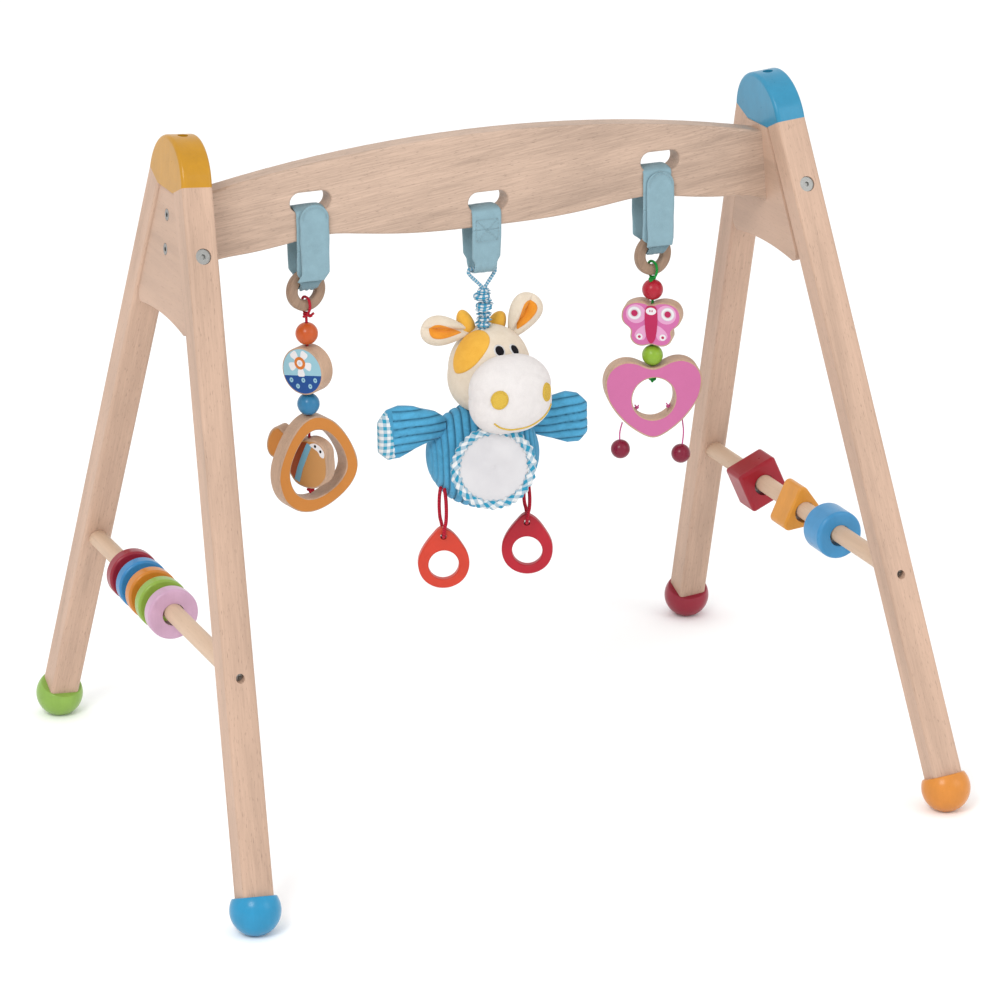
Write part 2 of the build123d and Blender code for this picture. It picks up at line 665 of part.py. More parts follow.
def make_cow_arm(side):
    """Flat stuffed arm: a rounded paddle that widens to its hand."""
    reach = 92.5
    outline = smooth_outline([
        (40, 13), (60, 21), (80, 22), (reach, 8), (90, -12), (80, -22), (62, -15), (40, -9), (36, 2),
    ])
    centre_z = 297.5 if side < 0 else 291.0
    arm = Plane(origin=(-2.0, 2.0, centre_z), x_dir=(1, 0, 0), z_dir=(0, -1, 0)) * board(outline, 15)
    arm = fillet(arm.faces().filter_by(Axis.Y).edges(), 3.0)
    return arm if side > 0 else mirror(arm, about=Plane(origin=(-2.0, 0, 0), z_dir=(1, 0, 0)))


def make_ears_horns():
    left = Pos(-37, 4, 380) * Rot(0, 8, 0) * scale(Sphere(1), by=(22.0, 7.0, 13.0))
    right = Pos(37, 4, 386) * Rot(0, -38, 0) * scale(Sphere(1), by=(20.0, 7.0, 12.5))
    horn_left = Pos(-15, 8, 381) * Rot(0, -18, 0) * scale(Sphere(1), by=(7.0, 6.5, 12.0))
    horn_right = Pos(16, 14, 380) * Rot(0, 24, 0) * scale(Sphere(1), by=(7.0, 6.5, 12.0))
    return [left, right, horn_left, horn_right]


def make_teether(x, z, turn):
    """Flat teardrop ring with a small hole for its cord near the point."""
    outline = smooth_outline([
        (0, 27.5), (7, 23.5), (15, 13.5), (20.5, 2), (20.5, -8.5), (16, -17.5), (8.5, -22.8), (0, -24.5),
        (-8.5, -22.8), (-16, -17.5), (-20.5, -8.5), (-20.5, 2), (-15, 13.5), (-7, 23.5),
    ])
    ring = board(outline, 8) - Pos(0, -4.5) * Cylinder(TEETHER_HOLE / 2, 20)
    ring = fillet(ring.faces().filter_by(Axis.Z).edges(), 1.5)
    ring -= Pos(0, TEETHER_EYE) * Cylinder(2.6, 20)
    return upright(x, -2, z, turn) * ring


def leg_loop(x, z, turn, top):
    """Doubled cord from the body's foot, through the teether's small hole and back."""
    hole_z = z + TEETHER_EYE
    half = 6.4
    path = FilletPolyline(
        (-1.2, top), (-half, top - 10), (-half, hole_z), (half, hole_z), (half, top - 10), (1.2, top),
        radius=[6.0, 3.2, 3.2, 6.0],
    )
    a = math.radians(turn)
    plane = Plane(origin=(x, -2, 0), x_dir=(math.sin(a), -math.cos(a), 0), z_dir=(-math.cos(a), -math.sin(a), 0))
    route = plane * path
    return sweep(Plane(origin=route @ 0, z_dir=route % 0) * Circle(LEG_CORD_RADIUS), path=route)


def build_cow():
    head = make_cow_head()
    body = make_cow_body(head)
    ears = [e - head for e in make_ears_horns()]
    ears[2] -= ears[0]
    ears[3] -= ears[1]
    arms = [make_cow_arm(side) - body - head for side in (-1, 1)]
    keep("cow_body", body)
    keep("cow_arms", Compound([a.solids().sort_by(SortBy.VOLUME)[-1] for a in arms]))
    keep("cow_ears_horns", Compound([e.solids().sort_by(SortBy.VOLUME)[-1] for e in ears]))
    elastic_foot = HEAD[0][2] + 31.0
    elastic = Pos(COW_X, 0, elastic_foot) * Cylinder(
        6.5, ELASTIC_TOP - elastic_foot, align=(Align.CENTER, Align.CENTER, Align.MIN)
    )
    keep("cow_head", head - elastic)
    keep("cow_elastic", elastic)
    loop_low = (COW_X, 0, ELASTIC_TOP)
    span = MIDDLE_NECK / 2 + 2.4
    rest = MIDDLE_BOTTOM + STRAP_THICK + 2.0
    corners = [(MIDDLE_X + i * span, 0, rest) for i in (-1, 1)]
    shoulders = [(MIDDLE_X + i * span, 0, ELASTIC_TOP + 10) for i in (-1, 1)]
    loop = rod(*corners, LOOP_THICK)
    for corner, shoulder in zip(corners, shoulders):
        loop += Pos(*corner) * Sphere(LOOP_THICK) + Pos(*shoulder) * Sphere(LOOP_THICK)
        loop += rod(corner, shoulder, LOOP_THICK) + rod(shoulder, loop_low, LOOP_THICK)
    floor = Pos(*loop_low) * Box(30, 30, 10, align=(Align.CENTER, Align.CENTER, Align.MAX))
    keep("cow_loop", loop - floor)
    pane = cow_patch_plane() * Cylinder(MIRROR[1], MIRROR_THICK, align=(Align.CENTER, Align.CENTER, Align.MIN))
    hoop = Cylinder(MIRROR[1] + BINDING, 3.5, align=(Align.CENTER, Align.CENTER, Align.MIN))
    hoop -= Cylinder(MIRROR[1], 3.5, align=(Align.CENTER, Align.CENTER, Align.MIN))
    keep("cow_mirror", pane - head)
    keep("cow_binding", cow_patch_plane() * hoop - head)
    centre, radii = BODY
    grown = ball(centre, [r + LEG_CORD_GAP for r in radii], turn=BODY_TURN)
    for name, (x, z) in TEETHERS.items():
        turn = -18.0 if name == "left" else -24.0
        keep("cow_teether_" + name, make_teether(x, z, turn))
        keep("cow_leg_cord_" + name, leg_loop(x, z, turn, LEG_CORD_TOP) - grown)


build_frame()
build_rung_toys()
build_straps()
build_left_toy()
build_right_toy()
build_cow()

for name, shape in made.items():
    export_step(shape, "parts/" + name + ".step")
print(len(made), "nodes")
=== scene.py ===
"""Looks of the activity play gym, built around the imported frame. Metres, +Z up."""

import json
import math

import bpy
import bmesh
from mathutils import Matrix, Vector, noise

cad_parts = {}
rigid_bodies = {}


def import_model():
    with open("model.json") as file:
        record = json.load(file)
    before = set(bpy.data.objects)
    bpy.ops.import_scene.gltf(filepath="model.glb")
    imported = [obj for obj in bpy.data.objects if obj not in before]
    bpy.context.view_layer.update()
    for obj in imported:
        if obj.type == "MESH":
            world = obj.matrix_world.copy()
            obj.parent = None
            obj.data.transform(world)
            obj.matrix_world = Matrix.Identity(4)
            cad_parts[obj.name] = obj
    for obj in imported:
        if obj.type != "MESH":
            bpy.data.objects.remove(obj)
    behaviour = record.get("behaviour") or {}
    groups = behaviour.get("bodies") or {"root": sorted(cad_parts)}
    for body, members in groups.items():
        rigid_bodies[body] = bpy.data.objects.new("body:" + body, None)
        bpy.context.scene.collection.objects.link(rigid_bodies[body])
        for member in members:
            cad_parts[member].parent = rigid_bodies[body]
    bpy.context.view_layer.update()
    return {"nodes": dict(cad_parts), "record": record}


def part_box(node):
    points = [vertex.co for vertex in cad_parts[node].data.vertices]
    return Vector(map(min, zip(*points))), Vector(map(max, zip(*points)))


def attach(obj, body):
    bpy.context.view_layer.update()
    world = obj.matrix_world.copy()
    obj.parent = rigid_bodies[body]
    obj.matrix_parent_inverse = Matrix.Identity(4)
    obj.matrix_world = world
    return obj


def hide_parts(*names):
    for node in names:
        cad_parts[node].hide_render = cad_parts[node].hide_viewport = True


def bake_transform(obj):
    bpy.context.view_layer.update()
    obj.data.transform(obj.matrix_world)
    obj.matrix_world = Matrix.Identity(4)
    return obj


for leftover in list(bpy.data.objects):
    bpy.data.objects.remove(leftover)
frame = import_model()

noise.seed_set(7)        # mathutils' noise starts from the clock unless it is seeded

MM = 0.001
UP = Vector((0, 0, 1))
FORWARD = Vector((0, -1, 0))
ROUND = 2 * math.pi


# ------------------------------------------------------------------ places and small sums


def clamp(value, low=0.0, high=1.0):
    return min(high, max(low, value))


def hill(value, width):
    """Smooth bump: 1 at zero, falling to nothing past the width."""
    return math.exp(-((value / width) ** 2))


def round_angles(count):
    return [ROUND * i / count for i in range(count)]


def mm(x, y, z):
    return Vector((x, y, z)) * MM


def middle(node):
    low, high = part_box(node)
    return (low + high) / 2


def level_axes(degrees):
    """Directions to the right and out towards the viewer of a face turned about Z."""
    a = math.radians(degrees)
    return Vector((math.cos(a), math.sin(a), 0)), Vector((math.sin(a), -math.cos(a), 0))


def axes_at(right, up, out, at):
    """Matrix of a place with these three axes."""
    return Matrix.Translation(at) @ Matrix((right, up, out)).transposed().to_4x4()


def upright(at, degrees):
    """Place of an upright face turned about Z: x to the right, y up, z out towards the viewer."""
    right, out = level_axes(degrees)
    return axes_at(right, UP, out, at)


# ------------------------------------------------------------------ colours


def srgb(hex_code):
    """Linear colour of a six-digit code; a colour that is linear already stays as it is."""
    if not isinstance(hex_code, str):
        return hex_code
    values = [int(hex_code[i:i + 2], 16) / 255 for i in (0, 2, 4)]
    linear = [((v + 0.055) / 1.055) ** 2.4 if v > 0.04045 else v / 12.92 for v in values]
    return (*linear, 1.0)


def shade(colour, factor):
    return tuple(min(1.0, c * factor) for c in colour[:3]) + (1.0,)


def tint(colour, red, green, blue):
    return (colour[0] * red, colour[1] * green, min(1.0, colour[2] * blue), 1.0)


def towards(a, b, t):
    return tuple(p + (q - p) * t for p, q in zip(a[:3], b[:3])) + (1.0,)


# ------------------------------------------------------------------ material tools


LEVEL = 0.76            # all base colours are laid this far below their codes, to suit the bright studio
PAINT_LEVEL = 0.66
PAPER_LEVEL = 1.0
LEAST_TURN = (0.0, 0.0, 0.001)


class Maker:
    """Small helper that adds nodes to one material."""

    def __init__(self, name, code="FFFFFF", level=LEVEL):
        self.mat = bpy.data.materials.new(name)
        self.mat.use_nodes = True
        self.tree = self.mat.node_tree
        self.tree.nodes.clear()
        self.level = level
        self.colour = srgb(code)
        self.shader = self.add("ShaderNodeBsdfPrincipled")
        self.put(self.add("ShaderNodeOutputMaterial").inputs[0], self.shader.outputs[0])

    def put(self, socket, value):
        if isinstance(value, bpy.types.NodeSocket):
            self.tree.links.new(value, socket)
        else:
            socket.default_value = value

    def add(self, kind, **values):
        """New node, with a value or a link for each input that is named."""
        node = self.tree.nodes.new(kind)
        for key, value in values.items():
            self.put(node.inputs[key.replace("_", " ")], value)
        return node

    def mark(self, name):
        """Reads a mark that is stored on the mesh's points."""
        node = self.add("ShaderNodeAttribute")
        node.attribute_name = name
        return node

    def place(self, scale=(1, 1, 1), turn=None, cloth=False, move=(0, 0, 0)):
        """Where a texture is looked up: in the object, turned to the grain, or on the flat cloth."""
        if cloth:
            at = self.mark("cloth").outputs["Vector"]
        else:
            at = self.add("ShaderNodeTexCoord").outputs["Object"]
        if turn:
            node = self.add("ShaderNodeMapping", Vector=at, Rotation=turn)
            node.vector_type = "TEXTURE"
            at = node.outputs[0]
        return self.add("ShaderNodeMapping", Vector=at, Scale=scale, Location=move).outputs[0]

    def noise(self, at, scale, detail=3.0, rough=0.55, distort=0.0):
        inputs = dict(Scale=scale, Detail=detail, Roughness=rough, Distortion=distort)
        return self.add("ShaderNodeTexNoise", Vector=at, **inputs).outputs["Fac"]

    def wave(self, at, scale, direction="X", distort=0.0):
        node = self.add("ShaderNodeTexWave", Vector=at, Scale=scale, Distortion=distort)
        node.bands_direction = direction
        return node.outputs["Fac"]

    def ramp(self, value, stops):
        node = self.add("ShaderNodeValToRGB", Fac=value)
        elements = node.color_ramp.elements
        while len(elements) < len(stops):
            elements.new(0.5)
        for element, (at, colour) in zip(elements, stops):
            element.position = at
            element.color = colour if not isinstance(colour, float) else (colour, colour, colour, 1)
        return node.outputs["Color"]

    def shades(self, value, low, high, start=0.3, end=0.7):
        """Ramp between two shades of the material's own colour."""
        return self.ramp(value, [(start, shade(self.colour, low)), (end, shade(self.colour, high))])

    def mix(self, factor, a, b, blend="MIX"):
        node = self.add("ShaderNodeMix")
        node.data_type = "RGBA"
        node.blend_type = blend
        for socket, value in ((0, factor), (6, a), (7, b)):
            self.put(node.inputs[socket], value)
        return node.outputs[2]

    def math(self, kind, a, b=0.0):
        node = self.add("ShaderNodeMath")
        node.operation = kind
        self.put(node.inputs[0], a)
        self.put(node.inputs[1], b)
        return node.outputs[0]

    def bump(self, height, strength, depth):
        node = self.add("ShaderNodeBump", Strength=strength, Distance=depth * MM, Height=height)
        self.put(self.shader.inputs["Normal"], node.outputs[0])

    def rough(self, value, low, high):
        node = self.add("ShaderNodeMapRange", Value=value, To_Min=low, To_Max=high)
        self.put(self.shader.inputs["Roughness"], node.outputs[0])

    def set(self, **values):
        if "Base_Color" in values:
            level = (self.level, self.level, self.level, 1.0)
            values["Base_Color"] = self.mix(1.0, values["Base_Color"], level, "MULTIPLY")
        for key, value in values.items():
            self.put(self.shader.inputs[key.replace("_", " ")], value)
        return self.mat


def grain_turn(direction):
    """Euler angles that bring local Z onto a direction."""
    turn = tuple(Vector(direction).to_track_quat("Z", "Y").to_euler())
    return turn if any(turn) else LEAST_TURN


def wood(name, tone, high, low, direction, streaks, flecks, figure, seed):
    """Beech or rubberwood: long soft figure, fine fibres and short dark pores along the grain."""
    gloss = 0.42
    light, dark = shade(tone, high), shade(tone, low)
    k = Maker(name)
    turn = grain_turn(direction)
    broad = k.place((1, 1, 0.09), turn, move=(seed, seed * 0.37, 0))
    fine = k.place((1, 1, 0.035), turn, move=(seed, 0, seed * 0.21))
    pores = k.place((1, 1, 0.12), turn, move=(0, seed, seed))
    bands = k.noise(broad, streaks, 4.0, 0.6, 0.6)
    base = k.ramp(bands, [(0.30, shade(dark, 0.93)), (0.5, towards(light, dark, 0.45)), (0.72, light)])
    fibre = k.noise(fine, 900, 3.0, 0.7)
    base = k.mix(figure * 0.55, base, k.ramp(fibre, [(0.3, dark), (0.7, shade(light, 1.06))]))
    short = k.ramp(k.noise(pores, 1500, 2.0, 0.5), [(0.63, 0.0), (0.72, 1.0)])
    base = k.mix(k.math("MULTIPLY", short, flecks), base, shade(dark, 0.55))
    wide = k.noise(k.place(), 9, 2.0)
    base = k.mix(0.16, base, k.ramp(wide, [(0.35, shade(dark, 0.95)), (0.65, shade(light, 1.04))]))
    k.rough(fibre, gloss, gloss + 0.16)
    k.bump(k.mix(0.5, fibre, short), 0.14, 0.4)
    return k.set(Base_Color=base, Coat_Weight=0.04, Coat_Roughness=0.35, Specular_IOR_Level=0.25)


def paint(name, code):
    """Water-based lacquer on wood: faint upright grain under an even gloss, small dents and dust."""
    gloss = 0.24
    k = Maker(name, code, PAINT_LEVEL)
    fibre = k.noise(k.place((1, 1, 0.08), LEAST_TURN), 420, 3.0, 0.6)
    cloud = k.noise(k.place(), 60)
    base = k.mix(0.10, k.shades(cloud, 0.93, 1.05, 0.32, 0.68), k.shades(fibre, 0.72, 1.15, 0.35, 0.65))
    k.rough(k.noise(k.place(), 180, 4.0), gloss, gloss + 0.12)
    k.bump(k.mix(0.4, fibre, cloud), 0.10, 0.4)
    return k.set(Base_Color=base, Coat_Weight=0.14, Coat_Roughness=0.14, Specular_IOR_Level=0.25)


def printed(name, code):
    """Silk-screened ink on sanded wood, very slightly speckled."""
    k = Maker(name, code)
    speck = k.noise(k.place(), 2600, 2.0, 0.7)
    cloud = k.noise(k.place(), 90, 2.0)
    base = k.mix(0.2, k.shades(speck, 0.94, 1.06), k.shades(cloud, 0.9, 1.05))
    k.rough(speck, 0.42, 0.58)
    k.bump(speck, 0.10, 0.2)
    return k.set(Base_Color=base, Specular_IOR_Level=0.2)


def plush(name, code, deep):
    """Short velour pile: tiny tufts, soft cloudy nap and a light sheen."""
    k = Maker(name, code)
    low = srgb(deep)
    tufts = k.noise(k.place(), 1500, 3.0, 0.75)
    nap = k.noise(k.place(), 130, 4.0, 0.6, 0.4)
    base = k.ramp(nap, [(0.3, towards(k.colour, low, 0.6)), (0.62, k.colour)])
    base = k.mix(0.35, base, k.ramp(tufts, [(0.32, low), (0.66, shade(k.colour, 1.05))]))
    k.bump(k.mix(0.35, tufts, nap), 0.55, 0.7)
    return k.set(Base_Color=base, Roughness=0.92, Sheen_Weight=0.18, Sheen_Roughness=0.5,
                 Specular_IOR_Level=0.1)


def corduroy(name, code):
    """Wide-wale corduroy. The wales are in the mesh; height marks how deep in a furrow a point is. The colour
    is painted from it: painted shade in the furrows and a painted highlight on the crests.
    """
    k = Maker(name, code)
    pile = k.noise(k.place(), 1300, 3.0, 0.75)
    nap = k.noise(k.place(), 150, 4.0, 0.6, 0.5)
    # painted highlight: the crest colour is lifted up to 1.34 times the cloth's colour
    crest = k.shades(nap, 1.0, 1.34, 0.3, 0.66)
    # painted shade: deep in a furrow the colour falls to 0.30 of the cloth's colour
    base = k.ramp(k.mark("height").outputs["Fac"], [(0.25, 0.0), (0.97, 1.0)])
    base = k.mix(base, shade(k.colour, 0.30), crest)
    base = k.mix(0.22, base, k.shades(pile, 0.62, 1.3, 0.34, 0.66))
    k.bump(k.mix(0.3, pile, nap), 0.5, 0.6)
    return k.set(Base_Color=base, Roughness=0.9, Sheen_Weight=0.18, Sheen_Roughness=0.45,
                 Specular_IOR_Level=0.1)


def gingham(name, code, pitch, mid=0.52):
    """Woven check: two crossing stripe sets, with the fine plain weave over them."""
    thread_scale = 900
    white = srgb("F4F6F7")
    k = Maker(name, code)
    at = k.place(cloth=True)
    split = k.add("ShaderNodeSeparateXYZ", Vector=at)
    stripes = []
    for axis in (0, 1):
        turn = k.math("MULTIPLY", split.outputs[axis], ROUND / (pitch * MM))
        stripes.append(k.ramp(k.math("SINE", turn), [(0.0, 0.0), (0.04, 1.0)]))
    both = k.mix(0.5, *stripes)
    base = k.ramp(both, [(0.0, white), (0.5, towards(white, k.colour, mid)), (1.0, k.colour)])
    weave = k.mix(0.5, k.wave(at, thread_scale, "X"), k.wave(at, thread_scale, "Y"))
    base = k.mix(0.18, base, k.ramp(weave, [(0.2, 0.55), (0.8, 1.0)]), "MULTIPLY")
    k.bump(weave, 0.35, 0.3)
    return k.set(Base_Color=base, Roughness=0.85, Sheen_Weight=0.2, Specular_IOR_Level=0.2)


def webbing(name, code):
    """Knitted loop tape: short fibres over a tight crosswise rib."""
    k = Maker(name, code)
    at = k.place(cloth=True)
    knit = k.mix(0.5, k.wave(at, 420, "Y", 1.2), k.wave(at, 520, "X", 1.2))
    fuzz = k.noise(k.place(), 2200, 3.0, 0.75)
    cloud = k.noise(k.place(), 110)
    base = k.mix(0.3, k.shades(cloud, 0.9, 1.08), k.shades(fuzz, 0.7, 1.25, 0.35, 0.65))
    base = k.mix(0.12, base, k.shades(knit, 0.6, 1.2, 0.2, 0.8))
    k.bump(k.mix(0.5, fuzz, knit), 0.4, 0.5)
    return k.set(Base_Color=base, Roughness=0.88, Sheen_Weight=0.12, Specular_IOR_Level=0.12)


def cord_cloth(name, code, pitch=420):
    """Twisted or braided thread."""
    k = Maker(name, code)
    twist = k.wave(k.place(), pitch, "DIAGONAL", 2.0)
    fuzz = k.noise(k.place(), 2400, 2.0)
    base = k.mix(0.2, k.shades(twist, 0.62, 1.2, 0.2, 0.8), k.shades(fuzz, 0.7, 1.3))
    k.bump(k.mix(0.5, twist, fuzz), 0.5, 0.3)
    return k.set(Base_Color=base, Roughness=0.75, Sheen_Weight=0.04, Specular_IOR_Level=0.12)


def metal(name, code, roughness):
    k = Maker(name, code)
    brushed = k.noise(k.place(), 900)
    k.rough(brushed, roughness, roughness + 0.15)
    k.bump(brushed, 0.08, 0.2)
    return k.set(Base_Color=k.shades(brushed, 0.82, 1.1), Metallic=1.0)


def mirror_film(name):
    """Soft plastic mirror: bright, slightly cloudy and gently uneven."""
    k = Maker(name)
    cloud = k.noise(k.place(), 45)
    base = k.ramp(cloud, [(0.3, srgb("DAD8DB")), (0.7, srgb("E4E2E4"))])
    k.rough(k.noise(k.place(), 600, 2.0), 0.28, 0.40)
    k.bump(cloud, 0.15, 0.6)
    return k.set(Base_Color=base, Metallic=0.35, Coat_Weight=0.5, Coat_Roughness=0.15)


def plastic(name, code):
    """Rubber-like moulded plastic with a fine spark-eroded texture."""
    k = Maker(name, code)
    fine = k.noise(k.place(), 1800, 2.0)
    cloud = k.noise(k.place(), 70, 2.0)
    k.rough(fine, 0.34, 0.46)
    k.bump(fine, 0.12, 0.2)
    base = k.mix(0.08, k.shades(cloud, 0.94, 1.06), k.shades(fine, 0.8, 1.2))
    return k.set(Base_Color=base, Coat_Weight=0.06, Coat_Roughness=0.25, Specular_IOR_Level=0.25)


# ------------------------------------------------------------------ mesh tools


def add_object(name, data, smooth=True):
    obj = bpy.data.objects.new(name, data)
    bpy.context.scene.collection.objects.link(obj)
    if smooth:
        data.shade_smooth()
    return obj


def curve_mesh(curve):
    """Mesh that a curve makes."""
    probe = add_object("probe", curve, smooth=False)
    deps = bpy.context.evaluated_depsgraph_get()
    mesh = bpy.data.meshes.new_from_object(probe.evaluated_get(deps))
    bpy.data.objects.remove(probe)
    return mesh


def finish(obj, body, node=None):
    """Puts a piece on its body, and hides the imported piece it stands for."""
    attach(obj, body)
    if node:
        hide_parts(node)
    return obj


def finish_soft(obj, node=None):
    """Finishes a stuffed piece of the cow."""
    finish(obj, "cow", node)


def mark_points(mesh, name, kind, field, values):
    """Stores a value on each point: its place on the flat cloth, or its height in the pile."""
    mark = mesh.attributes.new(name, kind, "POINT")
    for item, value in zip(mark.data, values):
        setattr(item, field, value)


def grid_faces(rows, columns, wrap_rows, wrap_columns=True):
    faces = []
    for i in range(rows if wrap_rows else rows - 1):
        near, far = i * columns, (i + 1) % rows * columns
        for j in range(columns if wrap_columns else columns - 1):
            k = (j + 1) % columns
            faces.append((near + j, near + k, far + k, far + j))
    return faces


def skin(name, rows, mats, wrap_rows=False, cloth=None, height=None):
    """Closed skin over rings of points, with a fan over each end unless the rings close up."""
    n, m = len(rows), len(rows[0])
    points = [p for row in rows for p in row]
    faces = grid_faces(n, m, wrap_rows)
    marks = [v for row in cloth or () for v in row]
    heights = [v for row in height or () for v in row]
    ends = () if wrap_rows else ((0, True), ((n - 1) * m, False))
    for start, flip in ends:
        tip = len(points)
        points.append(sum((Vector(p) for p in points[start:start + m]), Vector()) / m)
        for values in (marks, heights):
            if values:
                values.append(values[start])
        for j in range(m):
            a, b = start + j, start + (j + 1) % m
            faces.append((b, a, tip) if flip else (a, b, tip))
    mesh = bpy.data.meshes.new(name)
    mesh.from_pydata([tuple(p) for p in points], [], faces)
    if marks:
        mark_points(mesh, "cloth", "FLOAT_VECTOR", "vector", marks)
    if heights:
        mark_points(mesh, "height", "FLOAT", "value", heights)
    bm = bmesh.new()
    bm.from_mesh(mesh)
    bmesh.ops.recalc_face_normals(bm, faces=bm.faces)
    bm.to_mesh(mesh)
    bm.free()
    for mat in mats:
        mesh.materials.append(mat)
    return add_object(name, mesh)


def thread(name, points, diameter, mat, body, node):
    """Round cord along a smooth line that has these control points."""
    curve = bpy.data.curves.new(name, "CURVE")
    curve.dimensions = "3D"
    spline = curve.splines.new("NURBS")
    spline.points.add(len(points) - 1)
    for item, p in zip(spline.points, points):
        item.co = (*p, 1.0)
    spline.order_u = 3
    spline.use_endpoint_u = True
    spline.resolution_u = 8
    curve.bevel_depth = diameter / 2
    curve.bevel_resolution = 3
    curve.use_fill_caps = True
    curve.materials.append(mat)
    return finish(add_object(name, curve, smooth=False), body, node)


def line_length(obj):
    """Length of a curve object's own line."""
    bare = obj.data.copy()
    bare.bevel_depth = 0
    mesh = curve_mesh(bare)
    spots = [v.co.copy() for v in mesh.vertices]
    ends = [tuple(e.vertices) for e in mesh.edges]
    bpy.data.meshes.remove(mesh)
    return sum((spots[a] - spots[b]).length for a, b in ends)


def plate(name, outline, place, low, high, mat, holes=()):
    """Thin flat piece: an outline in the place's plane, from one height to another."""
    curve = bpy.data.curves.new(name, "CURVE")
    curve.dimensions = "2D"
    curve.fill_mode = "BOTH"
    for loop in [outline, *holes]:
        spline = curve.splines.new("POLY")
        spline.points.add(len(loop) - 1)
        for item, (x, y) in zip(spline.points, loop):
            item.co = (x * MM, y * MM, 0, 1)
        spline.use_cyclic_u = True
    curve.extrude = (high - low) * MM / 2
    mesh = curve_mesh(curve)
    mesh.transform(place @ Matrix.Translation((0, 0, (low + high) * MM / 2)))
    mesh.materials.clear()
    mesh.materials.append(mat)
    return add_object(name, mesh, smooth=False)


def smooth_line(points, steps, closed=False):
    """Smooth line through the points (Catmull-Rom)."""
    pts = [Vector(p) for p in points]
    if closed:
        pts = [pts[-1], *pts, pts[0], pts[1]]
    else:
        pts = [2 * pts[0] - pts[1], *pts, 2 * pts[-1] - pts[-2]]
    out = []
    for p0, p1, p2, p3 in zip(pts, pts[1:], pts[2:], pts[3:]):
        for s in range(steps):
            t = s / steps
            out.append(0.5 * ((2 * p1) + (p2 - p0) * t + (2 * p0 - 5 * p1 + 4 * p2 - p3) * t * t
                              + (3 * p1 - p0 - 3 * p2 + p3) * t * t * t))
    return out if closed else [*out, pts[-2]]


def inset(outline, amount):
    """Moves a closed outline inwards."""
    n = len(outline)
    following = [*outline[1:], outline[0]]
    area = sum(a[0] * b[1] - b[0] * a[1] for a, b in zip(outline, following))
    sign = 1 if area > 0 else -1
    out = []
    for i in range(n):
        d = (Vector(following[i]) - Vector(outline[i - 1])).normalized()
        out.append((outline[i][0] - d.y * amount * sign, outline[i][1] + d.x * amount * sign))
    return out


def ellipse(x, y, a, b=None, steps=40):
    b = a if b is None else b
    return [(x + a * math.cos(t), y + b * math.sin(t)) for t in round_angles(steps)]


def swirl(p, scale, amount, seed=0.0):
    """Smooth random push of a point."""
    at = Vector(p) / scale + Vector((seed, seed * 1.7, seed * 0.3))
    return noise.noise_vector(at) * amount


# ------------------------------------------------------------------ camera, floor and light

EYE = Vector((-1.31278, -3.18787, 1.4156))
LOOK = Vector((0.36273, 0.87322, -0.32545)).normalized()
ROLL = math.radians(-0.571)
LENS = 160.2
FLOOR_REACH = 15.0
LIGHT_AIM = Vector((0, 0, 0.25))
LAMPS = (("key", Vector((-1.9, -1.9, 2.6)), 1.2, 46), ("fill", Vector((1.8, -2.4, 1.7)), 1.6, 13))
SKY = 1.02


def make_camera():
    data = bpy.data.cameras.new("camera")
    data.lens = LENS
    data.sensor_width = 36.0
    data.clip_end = 100.0
    camera = add_object("camera", data, smooth=False)
    level = LOOK.cross(UP).normalized()
    over = level.cross(LOOK)
    right = level * math.cos(ROLL) + over * math.sin(ROLL)
    up = over * math.cos(ROLL) - level * math.sin(ROLL)
    camera.matrix_world = axes_at(right, up, -LOOK, EYE)
    bpy.context.scene.camera = camera


def make_floor():
    k = Maker("floor_paper", level=PAPER_LEVEL)
    grain = k.noise(k.place(), 3.0, 2.0)
    paper = k.ramp(grain, [(0.3, srgb("FDFDFD")), (0.7, srgb("FFFFFF"))])
    mesh = bpy.data.meshes.new("floor")
    corners = [(x * FLOOR_REACH, y * FLOOR_REACH, 0) for x, y in ((-1, -1), (1, -1), (1, 1), (-1, 1))]
    mesh.from_pydata(corners, [], [(0, 1, 2, 3)])
    mesh.materials.append(k.set(Base_Color=paper, Roughness=0.9, Specular_IOR_Level=0.0))
    add_object("floor", mesh, smooth=False)


def make_light():
    world = bpy.data.worlds.new("studio")
    world.use_nodes = True
    sky = world.node_tree.nodes["Background"]
    sky.inputs[0].default_value = (1.0, 1.0, 1.0, 1.0)
    sky.inputs[1].default_value = SKY
    bpy.context.scene.world = world
    bpy.context.scene.view_settings.view_transform = "Standard"
    for name, place, size, energy in LAMPS:
        data = bpy.data.lights.new(name, "AREA")
        data.size = size
        data.energy = energy
        lamp = add_object(name, data, smooth=False)
        lamp.location = place
        lamp.rotation_euler = (LIGHT_AIM - place).to_track_quat("-Z", "Y").to_euler()


make_camera()
make_floor()
make_light()


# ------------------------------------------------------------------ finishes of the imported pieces

SPLAY = math.radians(4.76)
LEG_TILT = math.radians(23.28)
TONES = {m["slot"]: (*m["base_color"], 1.0) for m in frame["record"]["materials"] if m.get("base_color")}
BEECH = tint(TONES["beech"], 1.0, 1.02, 1.14)
BEAM = tint(TONES["beam_wood"], 0.95, 1.02, 1.30)
TOY = TONES["toy_wood"]
ACROSS = (0, 1, 0)
UPRIGHT = (0, 0, 1)


def dress(mat, *nodes):
    """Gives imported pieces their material."""
    for node in nodes:
        for part in frame["nodes"][node].material_slots:
            part.material = mat
        frame["nodes"][node].data.shade_smooth()


def slot_of(node):
    return frame["nodes"][node].material_slots[0].material.name.split(".")[0]


def leg_direction(side, end):
    up = math.cos(LEG_TILT)
    return (-side * up * math.sin(SPLAY), -end * math.sin(LEG_TILT), up * math.cos(SPLAY))


